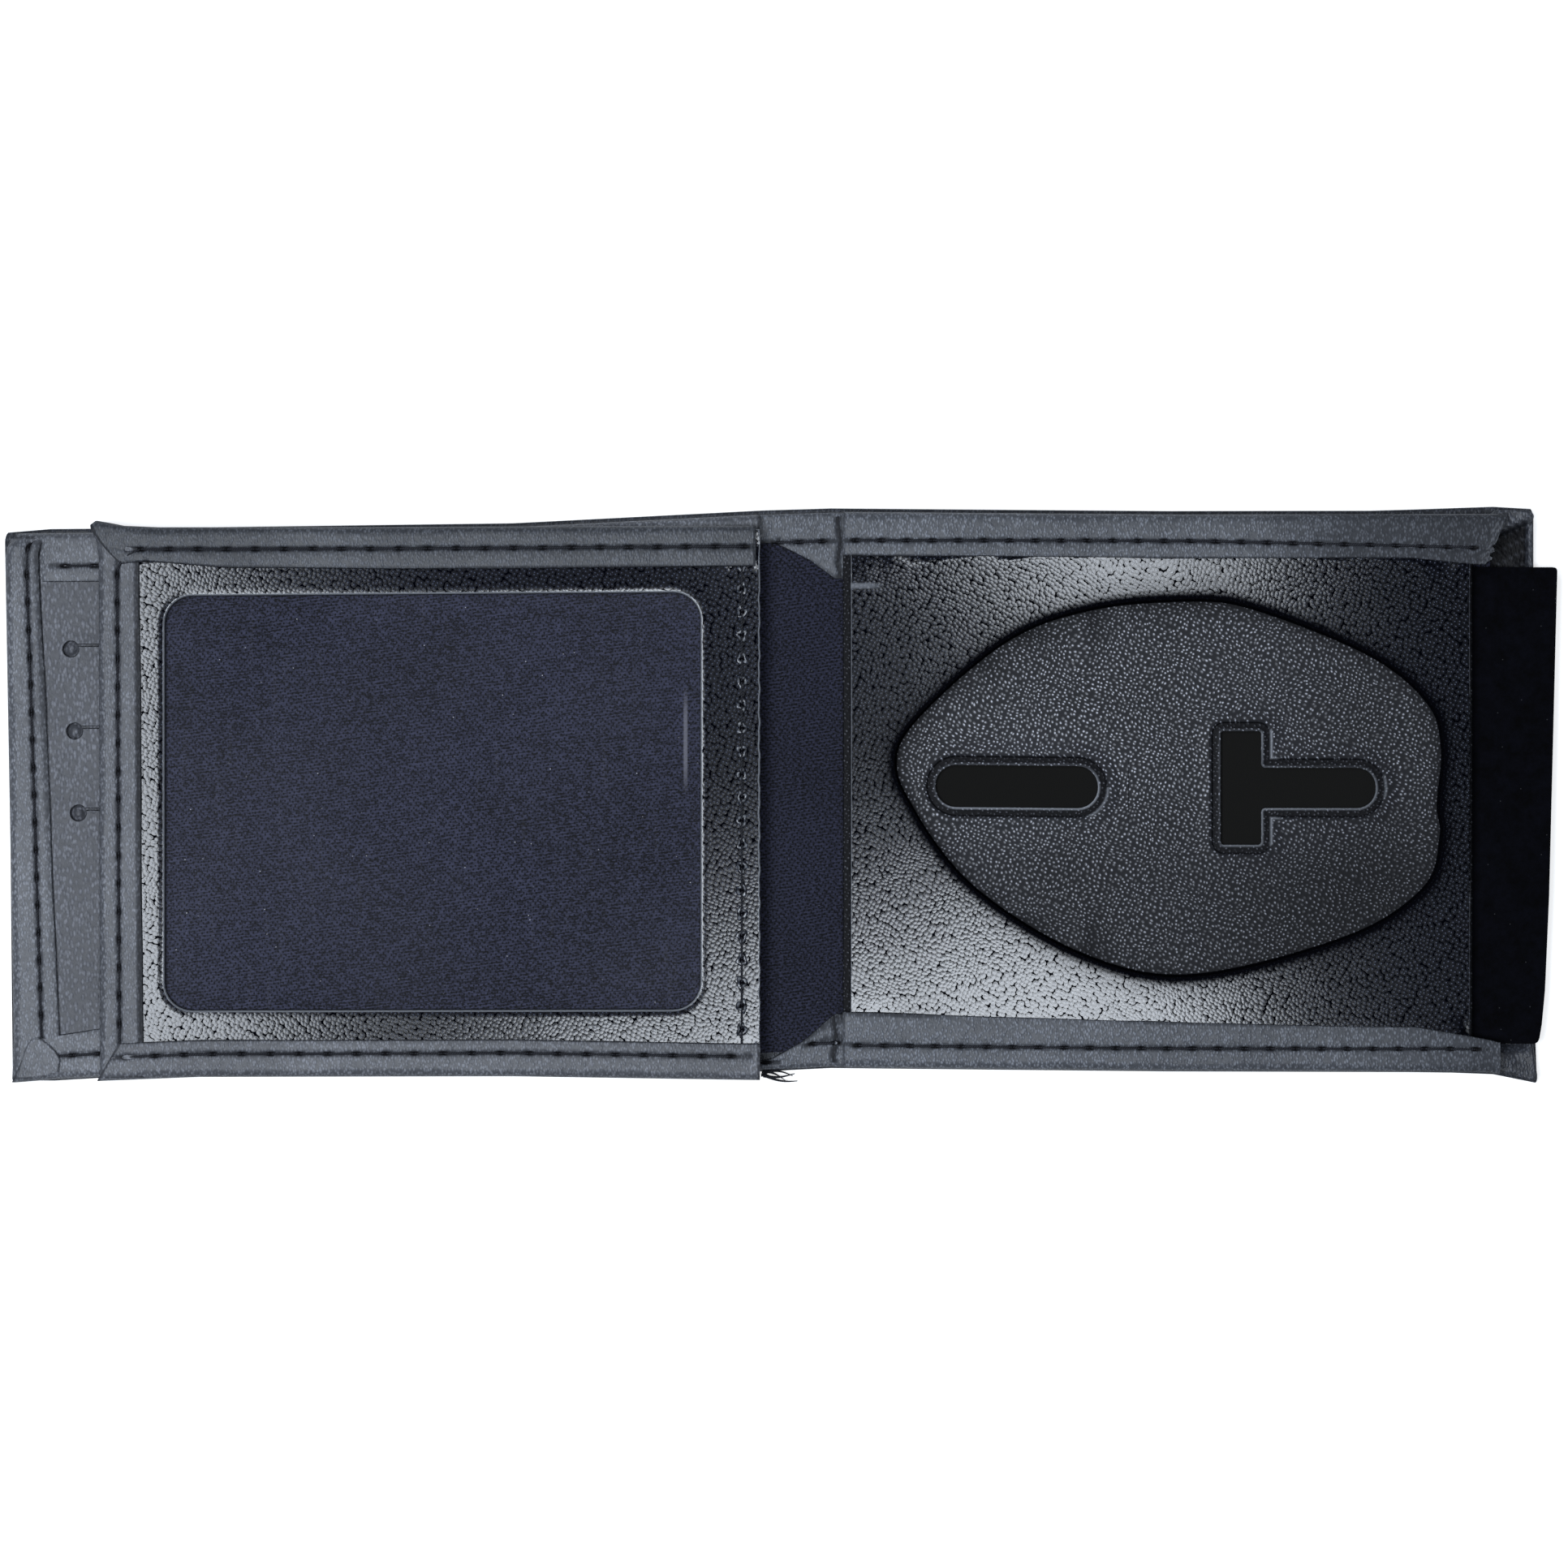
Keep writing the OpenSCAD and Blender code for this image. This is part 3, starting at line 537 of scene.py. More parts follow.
def band(name, rides, nodes, edge, fold, settle, leather, **shape):
    """Makes one band, and notes the needle holes of its seam for the thread that is sewn later. Settle lays
    it like the wallet or like the leaf."""
    skin, hole, wear_and_highlight = turned_band(**shape)
    made = piece(name, [settle(on_edge(edge, fold, skin))], leather, wear_and_highlight=[wear_and_highlight], hole=[hole])
    first, last = shape["holes"]
    s = first + shape["pitch"] * np.arange(round((last - first) / shape["pitch"]) + 1)
    seam = np.stack([s, follow(s, shape["stitch"]), follow(s, shape["z_high"])], -1)
    thread_rows["spine" if callable(rides) else rides].append(settle(on_edge(edge, fold, seam)))
    return fit(made, rides, "band_leather", *nodes)


left_fold = [(-40.3, -113.55), (37.3, -113.55), (39.0, -113.2), (40.0, -112.5), (40.6, -111.6)]
# Painted shade on the leather past the seam, stronger towards the top.
band(
    "left_edge_band_leather", "left_half", ["left_edge_band"], "left", left_fold, lie, id_band_leather,
    start=-40.3, end=40.6, reach=[(-40, 6.9), (40, 4.6)], z_low=1.15, z_high=[(39, 4.15), (40.6, 3.3)],
    stitch=[(-40, 4.3), (40, 2.9)], pitch=4.1, holes=(-35.0, 38.8), slant=(0.55, -0.1), wave=0.12,
    shade=[(-40, 0.05), (-15, 0.2), (20, 0.75), (40, 0.95)],
)
band(
    "top_band_left_leather", "left_half", ["top_band_left"], "top", 40.92, lie, id_band_leather,
    start=-112.2, end=hinge_x, reach=7.4, z_low=1.15, z_high=[(-112, 3.1), (-109.4, 3.5), (-108, 3.95), (-3, 4.0)],
    stitch=5.0, pitch=3.9, holes=(-105.4, -7.9), wave=0.1,
)
band(
    "bottom_band_left_leather", "left_half", ["bottom_band_left"], "low", -40.68, lie, id_band_leather,
    start=-113.5, end=hinge_x, reach=[(-113, 6.3), (-104, 7.2), (-3, 7.1)], z_low=1.15,
    z_high=[(-114, 4.3), (-105, 4.15), (-3, 4.0)], stitch=3.5, pitch=3.9, holes=(-108.7, -7.3),
    slant=(0.42, 0.0), wave=0.1,
)


def slab(outline, z_low, z_high, soft):
    """A small flat ply: its outline at full size between two outlines drawn in by soft."""
    outline = np.array(outline, float)
    out = outline - outline.mean(0)
    out /= np.linalg.norm(out, axis=1, keepdims=True)
    rows = [(soft, z_low), (0, z_low + soft), (0, z_high - soft), (soft, z_high)]
    return np.stack([np.column_stack([outline - inset * out, np.full(len(outline), z)]) for inset, z in rows])


tongue_outline = [
    (-112.9, -42.2), (-112.5, -40.4), (-111.96, -38.4), (-111.4, -37.1), (-110.8, -36.4), (-110.0, -36.2),
    (-109.2, -36.5), (-108.2, -37.3), (-107.2, -38.3), (-106.6, -39.4), (-106.9, -41.3), (-109.5, -42.0),
]
tongue = slab(tongue_outline, z_low=4.2, z_high=4.75, soft=0.2)
hole = np.zeros(tongue.shape[:2])
# Painted shade on the tongue's underside and lower edge.
hole[0:2] = 0.7
fit(piece("bottom_band_left_tongue", [tongue], id_band_leather, hole=[hole]), "left_half", "band_leather")

# ---------------------------------------------------------------------------
# Card panel
# A sheet of grained leather behind the ID leaf, sewn in at its rim. Three cuts, each ended by a round
# relief hole at its left, take cards into the cloth pockets behind.
panel_leather = smooth_leather(
    "panel_leather", (0.118, 0.123, 0.142), gloss=0.3, grain=0.5, depth=0.07, grained=0.2
)


def rectangle(low, high):
    """The four corners of a rectangle, from its lower left one."""
    return [(low[0], low[1]), (high[0], low[1]), (high[0], high[1]), (low[0], high[1])]


def to_rectangle(points, centre, low, high):
    """Each point of a hole's outline goes out along its line from the centre until it meets the rectangle.
    The sample nearest to each corner is moved onto the corner."""
    out = points - centre
    span = np.where(out > 0, np.array(high) - centre, centre - np.array(low))
    scale_x, scale_y = (span / np.maximum(np.abs(out), 1e-9)).T
    rim = centre + out * np.minimum(scale_x, scale_y)[:, None]
    for corner in rectangle(low, high):
        rim[np.argmin(((rim - corner) ** 2).sum(1))] = corner
    return rim


def pierced_panel(rings, rim, heights, z_low, z_high, edge=0.15, spans=6, joined=None):
    """A panel with a hole, as rows round the hole and columns across it: up the hole's wall and lip over
    the given rings at their heights, out over the face to the rim, down its edge and back underneath.
    Where the rim is joined to a neighbour it keeps its full height."""
    last = rings[-1]
    out = rim - last
    away = out / np.linalg.norm(out, axis=1, keepdims=True)
    soft = np.full((len(rim), 1), edge)
    if joined is not None:
        soft[joined(rim)] = 0
    plans = list(rings) + [last + out * share for share in np.linspace(0, 1, spans)[1:-1]]
    plans += [rim - away * (soft + 0.12), rim - away * soft, rim, rim, last]
    levels = [0 * soft + height for height in (*heights, *[z_high] * spans)]
    levels += [z_high - soft, 0 * soft + z_low, 0 * soft + z_low]
    return np.stack([np.concatenate([plan, level], 1) for plan, level in zip(plans, levels)], 1)


def keyhole(centre, radius, length, cut, above):
    """Outline of a relief hole with a long cut that leaves it to the right above its middle."""
    first, last = math.asin((above + cut / 2) / radius), math.asin((above - cut / 2) / radius)
    turn = np.linspace(first, 2 * math.pi + last, 26)
    circle = centre + radius * np.stack([np.cos(turn), np.sin(turn)], -1)
    run = centre[0] + np.geomspace(radius * 1.15, length, 16)
    upper = np.stack([run, np.full(16, centre[1] + above + cut / 2)], -1)
    lower = np.stack([run, np.full(16, centre[1] + above - cut / 2)], -1)
    far_end = np.array([[centre[0] + length + cut / 2, centre[1] + above]])
    return np.concatenate([circle, lower, far_end, upper[::-1]])


def panel_lie(points):
    """The panel follows the cover at its rim only; its middle, with the cuts, keeps its place."""
    share = np.clip((np.abs(points[..., 1:2]) - 24) / 12, 0, 1)
    return points + (lie(points) - points) * share - np.array([0, 0.3, 0]) * (1 - share)


slot_rows = [(-105.15, 21.42), (-104.6, 9.32), (-104.05, -2.78)]
relief_radius, slot_length, slot_cut, slot_above = 1.15, 90, 0.32, 0.55
slot_between = [(slot_rows[row][1] + slot_rows[row + 1][1]) / 2 for row in (0, 1)]
row_lines = [sewn_top, *slot_between, sewn_low]
panel_skins, panel_holes, panel_worn = [], [], []
for row, (x, y) in enumerate(slot_rows):
    rings = [
        keyhole(np.array([x, y]), relief_radius + out, slot_length + past, slot_cut + wide, slot_above)
        for out, past, wide in ((0, 0, 0), (0, 0, 0), (0.16, 0.1, 0.18), (0.7, 0.3, 0.7))
    ]
    low, high = (sewn_left, row_lines[row + 1]), (hinge_x, row_lines[row])
    rim_line = to_rectangle(rings[-1], np.array([x, y + slot_above]), low, high)
    inner_lines = np.array([line for line in slot_between if line in row_lines[row:row + 2]])
    skin = pierced_panel(
        rings, rim_line, [2.8, 3.5, 3.68, 3.6], z_low=2.8, z_high=3.6,
        joined=lambda rim: np.isclose(rim[:, 1:2], inner_lines).any(1),
    )
    hole, wear_and_highlight = np.zeros(skin.shape[:2]), np.zeros(skin.shape[:2])
    # Painted shade in the cuts; the lip beside them is made a little pale.
    hole[:, 0:2] = 0.9
    wear_and_highlight[:, 2] = 0.15
    panel_skins.append(panel_lie(skin))
    panel_holes.append(hole)
    panel_worn.append(wear_and_highlight)
card_panel = piece("card_slot_panel_skin", panel_skins, panel_leather, True, panel_worn, panel_holes)
fit(card_panel, "left_half", "panel_leather", "card_slot_panel")

# ---------------------------------------------------------------------------
# Card pockets
# Three thin plies of coated cloth behind the cuts, one under another, sewn together along their foot.
# The uppermost swells a little into each relief hole and fills it.
for node in ("card_pocket_upper", "card_pocket_middle", "card_pocket_lower"):
    low, high = (np.array(corner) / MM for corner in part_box(node))
    x = stations(low[0], high[0], step=8, fine=[place[0] for place in slot_rows], fine_step=0.25, edge=0.08)
    skin = flat_sheet(x, low[1], high[1], low[2], high[2], edge=0.08, runs=120)
    if node == "card_pocket_upper":
        for place in slot_rows:
            skin[..., 2] += 0.72 * np.exp(-(((skin[..., :2] - place) ** 2).sum(-1) / 0.62) ** 2)
    ply = fit(piece(node + "_cloth", [panel_lie(skin)], panel_leather), "left_half", "twill", node)

# ---------------------------------------------------------------------------
# Spine leather
# Two reinforcements of the band leather that cross the spine under the bands' ends and widen to the
# badge half. Each is sewn along the edge and made in two lengths, like the cover.
badge_band_leather = smooth_leather("badge_band_leather", (0.12, 0.129, 0.15), depth=0.07, grained=0.85)
spine_start, spine_end = -4.4, 9.7


def spine_leather(name, rides, nodes, edge, fold, reach, **shape):
    """One length of spine leather, a low folded strip whose end runs under the badge half's band."""
    band(
        name, rides, nodes, edge, fold, lie, badge_band_leather, reach=reach, z_low=[(7.6, 1.15), (8.6, 1.7)],
        z_high=[(-4, 2.5), (6.8, 2.55), (8.4, 2.9), (9.6, 2.9)], pitch=3.35, cut=(0, 0), **shape,
    )


top_edge = ("top", 40.93, [(-4.2, 4.0), (-1.0, 4.4), (3.8, 6.9), (7.6, 9.8), (9.6, 9.8)])
low_edge = ("low", -40.68, [(-4.2, 1.4), (-1.8, 1.6), (2.8, 3.9), (7.6, 7.8), (9.6, 7.8)])
id_length, badge_length = {"start": spine_start, "end": mid_spine}, {"start": mid_spine, "end": spine_end}
spine_leather("spine_top_id_side", bend_left, [], *top_edge, **id_length, stitch=4.2, holes=(-1.0, 2.36))
# The badge side's lengths are crossed by a crease with painted shade in it; the lower one also has painted shade
# past its seam.
spine_leather(
    "spine_top_badge_side", bend_right, ["top_band_spine"], *top_edge, **badge_length, stitch=4.2,
    holes=(2.35, 6.0), fold_at=8.25,
)
spine_leather("spine_low_id_side", bend_left, [], *low_edge, **id_length, stitch=1.1, holes=(-2.6, -2.6))
spine_leather(
    "spine_low_badge_side", bend_right, ["bottom_band_spine"], *low_edge, **badge_length,
    stitch=[(2, 3.0), (4, 3.5), (10, 3.5)], holes=(4.4, 7.7), fold_at=7.6, shade=0.85,
)

# ---------------------------------------------------------------------------
# Bands of the badge half
# The same folded strips over the top and bottom edges, thicker because they hold the badge panel.
# Both bands are darker towards their right ends, by painted shade; the top one has a painted highlight on its fold
# there.
band(
    "top_band_badge", "right_half", ["top_band_right"], "top", 40.92, lie, badge_band_leather,
    start=8.75, end=106.6, reach=[(8, 6.4), (95, 6.5), (105, 7.4)], z_low=1.15,
    z_high=[(8, 5.6), (10.5, 6.0), (105, 6.0)], stitch=[(8, 4.2), (60, 3.9), (105, 5.0)], pitch=3.79,
    holes=(10.6, 101.6), wave=0.1, cut=(0.3, 0.3), frayed=0.8, slant=(0.0, -0.4),
    dim=[(8, 0), (70, 0), (84, 0.35), (100, 0.6)], lit=[(90, 0), (95, 1.0)],
)
band(
    "bottom_band_badge", "right_half", ["bottom_band_right"], "low", -40.67, lie, badge_band_leather,
    start=8.75, end=105.6, reach=[(8, 8.2), (40, 7.6), (75, 6.8), (93, 6.6), (105, 4.6)], z_low=1.15,
    z_high=[(8, 5.6), (10.5, 6.0), (101, 5.9), (105, 5.3)], stitch=[(8, 3.3), (60, 3.3), (105, 3.4)], pitch=3.79,
    holes=(11.0, 102.0), wave=0.12, cut=(0.3, 0.1), dim=[(8, 0), (80, 0.05), (104, 0.3)],
)

# ---------------------------------------------------------------------------
# Hem at the outer edge
# The cover's leather turned in at the right end and cemented down, seen in the corner over the guard.
hem_left, hem_right, hem_low, hem_top, hem_fold_y = 104.3, 110.8, -40.38, 41.5, 37.8
x = stations(hem_left, hem_right, step=0.3, edge=0.2)
skin = lie(flat_sheet(x, hem_low, hem_top, z_low=1.05, z_high=1.6, edge=0.2, corner=1.2, runs=180))
x, y = skin[..., 0], skin[..., 1]
top_side = skin[..., 2] > 1.3
over_fold = y - hem_fold_y - 0.45 * (x - 105)
folded = np.clip(over_fold / 0.9 + 0.5, 0, 1)
at_low = np.clip((-y - 37.3) / 1.2, 0, 1)
turned_edge = np.clip((x - 109.6) / 0.5, 0, 1) * (1 - at_low)
wrinkle = 0.1 * np.sin(y / 1.9) * np.sin(x * 1.3 + y)
raised = wrinkle + 2.6 * folded**2 * (3 - 2 * folded) + 0.7 * turned_edge * (1 - folded) + 1.1 * at_low
skin[..., 2] += top_side * raised
fleck = np.clip(np.sin(y * 5.1 + x) * np.sin(x * 4.3 - y * 1.7) - 0.45, 0, 0.4)
at_top = np.clip(y / 5, 0, 1)
# Painted shade in the recess under the fold, broken by pale flecks, and a pale line along the fold.
hole = top_side * (1 - folded) * (1 - turned_edge) * at_top * (1 - fleck)
wear_and_highlight = top_side * np.exp(-((over_fold - 0.3) / 0.25) ** 2) * 0.25 + top_side * at_top * fleck * 0.6
hem = piece("right_edge_hem_leather", [skin], cover_leather, wear_and_highlight=[wear_and_highlight], hole=[hole])
fit(hem, "right_half", "cover_leather", "right_edge_hem")

# ---------------------------------------------------------------------------
# Badge base
# The leather at the bottom of the cut-out, formed over card. A slot for the badge's pin and a T-shaped
# slot for its clip are pressed in: a soft shoulder runs round each, then a ledge in painted shade and a
# thin edge with a painted highlight.
pebble_pitch = 0.58


def streak(tree, centre, half, strength):
    """A soft upright or level streak of the given half sizes in mm round a place of the wallet."""
    split = add_node(tree, "SeparateXYZ", {0: mm_space(tree)})
    shares = []
    for output, middle, reach in zip(split.outputs, centre, half):
        away = join("ABSOLUTE", join("SUBTRACT", output, middle), 0.0)
        shares.append(ramp(away, 0.3 * reach, reach, 1.0, 0.0, "SMOOTHSTEP"))
    return join("MULTIPLY", join("MULTIPLY", *shares), strength)


def pebbled_leather(name, colour, depth, dot_highlight, gloss, deep=0.8, tops=(0.5, 0.66), blur=0.12, dull=0.0,
                    dots=(0.05, 0.2), sparse=1.0, scuff=None):
    """Embossed leather: close round pebbles, in rows that sway. Their tops are plated smooth, as a clear
    coat of the given weight, and carry painted highlight dots; between them it is dull and dark. Painted
    shade and pale wear or painted highlights follow the mesh's marks."""
    made, tree, shader = new_material(
        name, {"IOR": 1.5, "Coat Roughness": blur, "Coat IOR": 1.65, "Specular IOR Level": dull}
    )
    plain, hole = mm_space(tree), mark_of(tree, "hole")
    sway = {0: noise(plain, 0.15, 1, output="Color"), 1: (2.0, 2.0, 0.0), 2: mm_space(tree, turn=0.52, lean=0.42)}
    swayed = add_node(tree, "VectorMath", sway, operation="MULTIPLY_ADD").outputs[0]
    near = cells(swayed, 1 / pebble_pitch, 0.58)
    fine, cloud = noise(plain, 3.2, 2), noise(plain, 0.045)
    pebble = ramp(near, 0.06, 0.62, 1.0, 0.0, "SMOOTHSTEP")
    highlight_dots = join("MULTIPLY", ramp(near, *dots, 1.0, 0.0, "SMOOTHSTEP"), ramp(fine, 0.4, 0.6, sparse, 1.0))
    base = tint(ramp(cloud, 0.3, 0.7), shaded(colour, 0.75), shaded(colour, 1.3))
    # Painted highlight dots of the given colour on the pebble tops.
    base = tint(highlight_dots, base, dot_highlight)
    base = tint(ramp(near, 0.32, 0.6, 0.0, deep), base, shaded(colour, 0.2))
    if scuff:
        base = tint(streak(tree, *scuff), base, (0.3, 0.32, 0.36))
    base = tint(mark_of(tree, "wear_and_highlight"), base, (0.36, 0.38, 0.42))
    plated = join("MULTIPLY", ramp(near, *tops, gloss, 0.0, "SMOOTHSTEP"), ramp(cloud, 0.3, 0.7, 0.85, 1.0))
    feed(shader, {
        "Base Color": tint(hole, base, (0.002, 0.002, 0.003)),
        "Coat Weight": join("MULTIPLY", plated, ramp(hole, 0.0, 0.8, 1.0, 0.0)),
        "Roughness": ramp(cloud, 0.3, 0.7, 0.55, 0.62),
        "Normal": bump(pebble, depth, bump(fine, 0.01)),
        "Coat Normal": bump(pebble, depth * 0.12),
    })
    return made


base_leather = pebbled_leather(
    "base_leather", (0.03, 0.031, 0.036), 0.04, (0.5, 0.52, 0.6), 0.5, blur=0.4, dull=0.1, tops=(0.22, 0.42),
    deep=0.3, dots=(0.12, 0.26), sparse=0.1,
)


def square_outline(corners, radii, grow, arc=8, between=7):
    """Outline of a figure with square corners, each rounded by its radius, with all edges moved out by
    grow. A corner's arc is its centre less each edge's direction times the radius, from sine and cosine."""
    corners, radii = np.array(corners, float), np.array(radii, float)
    to_last = np.roll(corners, 1, 0) - corners
    to_next = np.roll(corners, -1, 0) - corners
    to_last /= np.linalg.norm(to_last, axis=1, keepdims=True)
    to_next /= np.linalg.norm(to_next, axis=1, keepdims=True)
    convex = np.sign(to_next[:, 0] * to_last[:, 1] - to_next[:, 1] * to_last[:, 0])
    moved = corners - grow * convex[:, None] * (to_last + to_next)
    radius = np.maximum(radii + grow * convex, 0.12)[:, None, None]
    turn = np.linspace(0, math.pi / 2, arc)[None, :, None]
    a, b = to_last[:, None, :], to_next[:, None, :]
    arcs = moved[:, None, :] + radius * (a + b) - radius * (b * np.cos(turn) + a * np.sin(turn))
    share = np.linspace(0, 1, between + 2)[1:-1][None, :, None]
    runs = arcs[:, -1:, :] + (np.roll(arcs, -1, 0)[:, :1, :] - arcs[:, -1:, :]) * share
    return np.concatenate([arcs, runs], 1).reshape(-1, 2)


badge_x, badge_y = 56.45, 0.825
pin_x, pin_long, pin_tall, pin_radius = 34.45, 24.0, 6.2, 3.05
pin_corners = rectangle(
    (pin_x - pin_long / 2, badge_y - pin_tall / 2), (pin_x + pin_long / 2, badge_y + pin_tall / 2)
)
clip_x, bar_x0, bar_x1, stem_x1, bar_half, stem_half = 68.6, 64.55, 70.55, 87.45, 8.35, 2.95
clip_low_half = [(bar_x0, -bar_half), (bar_x1, -bar_half), (bar_x1, -stem_half), (stem_x1, -stem_half)]
clip_corners = [(x, badge_y + y) for x, y in clip_low_half] + [(x, badge_y - y) for x, y in clip_low_half[::-1]]
clip_radii = [0.5, 0.5, 0.6, 2.8, 2.8, 0.6, 0.5, 0.5]
shield_wide, shield_tall = 81.4, 55.0
shield_shares = [
    (-1, 0.1), (-0.9, 0.365), (-0.58, 0.775), (-0.27, 0.95), (0.09, 1), (0.33, 0.95), (0.74, 0.705),
    (0.95, 0.45), (1, 0.21), (0.985, -0.09), (0.995, -0.26), (0.935, -0.53), (0.66, -0.79), (0.1, -1),
    (-0.3, -0.895), (-0.69, -0.55), (-0.92, -0.135),
]


def smooth_round(points, steps):
    """A closed curve through all points: between two of them it is a cubic that leaves and meets each
    point along the line joining that point's two neighbours."""
    b = np.array(points, float)[:, None, :]
    a, c, d = np.roll(b, 1, 0), np.roll(b, -1, 0), np.roll(b, -2, 0)
    u = (np.arange(steps) / steps)[None, :, None]
    curve = 2 * b + (c - a) * u + (2 * a - 5 * b + 4 * c - d) * u**2 + (3 * b - a - 3 * c + d) * u**3
    return curve.reshape(-1, 2) / 2


badge_centre = np.array([badge_x, badge_y])
shield = smooth_round(shield_shares, 12) * np.array([shield_wide, shield_tall]) / 2
shield[:, 0] += 0.9 * np.exp(-(((shield[:, 1] - 1.2) / 4.5) ** 2)) * (shield[:, 0] < -30)
shield_turn, shield_reach = np.arctan2(shield[:, 1], shield[:, 0]), np.linalg.norm(shield, axis=1)
shield_out = shield / shield_reach[:, None]

# Rings round a slot by their distance from its edge, and their heights: wall, lip (painted highlight),
# ledge (painted shade), shoulder.
grows = [0.0, 0.0, 0.12, 0.25, 0.45, 1.15, 1.25, 1.4, 1.75, 2.3, 3.2]
rises = [3.0, 3.62, 3.74, 3.62, 3.52, 3.5, 3.62, 4.0, 4.2, 4.12, 3.92]
base_left, base_split, base_right = 8.8, 51.0, 101.65
base_skins, base_holes, base_highlights = [], [], []
for corners, radii, centre_x, left, right in (
    (pin_corners, [pin_radius] * 4, pin_x, base_left, base_split),
    (clip_corners, clip_radii, clip_x, base_split, base_right),
):
    rings = [square_outline(corners, radii, grow) for grow in grows]
    rim_line = to_rectangle(rings[-1], np.array((centre_x, badge_y)), (left, sewn_low), (right, sewn_top))
    skin = pierced_panel(
        rings, rim_line, rises, z_low=3.0, z_high=3.9, spans=30,
        joined=lambda rim: np.isclose(rim[:, 0], base_split),
    )
    hole, wear_and_highlight = np.zeros(skin.shape[:2]), np.zeros(skin.shape[:2])
    # Painted highlight on the lip round each slot, brightest on the sides that face the lamps.
    facing = (rings[-1] - rings[0]) / np.linalg.norm(rings[-1] - rings[0], axis=1, keepdims=True)
    lamp_side = np.clip(0.45 + 0.6 * facing[:, 0] - 0.6 * facing[:, 1], 0.15, 1.2)
    wear_and_highlight[:, 1:4] = lamp_side[:, None] * np.array([0.4, 0.8, 0.4])
    # Painted highlights on the ledge beside the clip's bar, past its stem and under the pin slot's right end.
    x, y = skin[:, 6:8, 0], skin[:, 6:8, 1] - badge_y
    at_bar = (np.abs(x - 72.0) < 0.9) & (np.abs(y) > 4.0) & (np.abs(y) < 8.4)
    wear_and_highlight[:, 6:8] += 0.9 * at_bar + 0.5 * (x > 88.5) * (x < 92) * (np.abs(y) < 2)
    wear_and_highlight[:, 6:8] += 0.6 * (x > pin_x + 10) * (x < base_split) * (y < 0)
    # Painted shade: on the ledge, as a painted shadow that fades out from the face's wall, and darker towards the
    # right and the bottom.
    hole[:, 4:8] = (0.8, 0.9, 0.8, 0.3)
    out = skin[..., :2] - badge_centre
    wall = np.interp(np.arctan2(out[..., 1], out[..., 0]), shield_turn, shield_reach, period=2 * math.pi)
    from_wall = np.clip(wall - np.linalg.norm(out, axis=-1), 0, 99)
    painted_falloff = 0.3 * np.clip((skin[..., 0] - 52) / 30, 0, 1) + 0.36 * np.clip((4 - skin[..., 1]) / 16, 0, 1)
    hole = np.maximum(hole, np.maximum(painted_falloff, 0.85 * np.exp(-from_wall / 1.8)))
    base_skins.append(lie(skin))
    base_holes.append(hole)
    base_highlights.append(wear_and_highlight)
base = piece("badge_base_leather", base_skins, base_leather, True, base_highlights, base_holes)
fit(base, "right_half", "base_leather", "badge_base")

# ---------------------------------------------------------------------------
# Badge face
# A padded panel of glossy pebbled leather, sewn in under the top and bottom bands. The cut-out is a
# shield on its side, and the leather is rolled over its edge, so the rim falls softly to the base.
face_leather = pebbled_leather(
    "face_leather", (0.0012, 0.002, 0.006), 0.03, (0.08, 0.092, 0.125), 0.82, scuff=((11.3, 30.4), (3.8, 0.6), 0.4)
)

# Rings round the cut-out by their distance from its line, and their heights: wall, rolled edge, face.
shield_steps = [0.0, -0.2, 0.0, 0.15, 0.38, 0.75, 1.7, 4.0]
shield_rises = [3.95, 4.3, 4.9, 5.32, 5.44, 5.45, 5.45, 5.45]
rings = [badge_centre + shield + shield_out * step for step in shield_steps]
face_left, face_right = 9.85, 101.25
rim_line = to_rectangle(rings[-1], badge_centre, (face_left, sewn_low), (face_right, sewn_top))
skin = pierced_panel(rings, rim_line, shield_rises, z_low=3.95, z_high=5.45, edge=0.2, spans=12)
x, y, z = skin[..., 0], skin[..., 1], skin[..., 2]
z += np.where(z > 5.0, 0.35 * np.sin(math.pi * (x - face_left) / (face_right - face_left)), 0)
under_band = (y > 36.0) | (y < np.interp(x, [80, 95], [-36.3, -37.8]))
z[under_band] = np.minimum(z[under_band], 5.0)
hole, wear_and_highlight = np.zeros(skin.shape[:2]), np.zeros(skin.shape[:2])
near_edge = (rim_line[:, 0] < face_left + 0.1) | (rim_line[:, 0] > face_right - 0.1)
wear_and_highlight[near_edge, -4] = np.where(rim_line[near_edge, 0] < 50, 0.35, 0.12)
# Painted shadow down the cut-out's wall and rolled edge, which also takes their gloss away; painted shade along the
# face's left and right edges and in its lower right corner.
hole[:, 0:7] = (1.0, 0.95, 0.95, 0.95, 0.95, 0.75, 0.2)
hole[near_edge, -3:-1] = 0.8
hole = np.maximum(hole, 0.8 * ((x > 99.4) & (y < -33)))
face = piece("badge_face_leather", [lie(skin)], face_leather, True, [wear_and_highlight], [hole])
fit(face, "right_half", "pebbled_leather", "badge_face_panel")

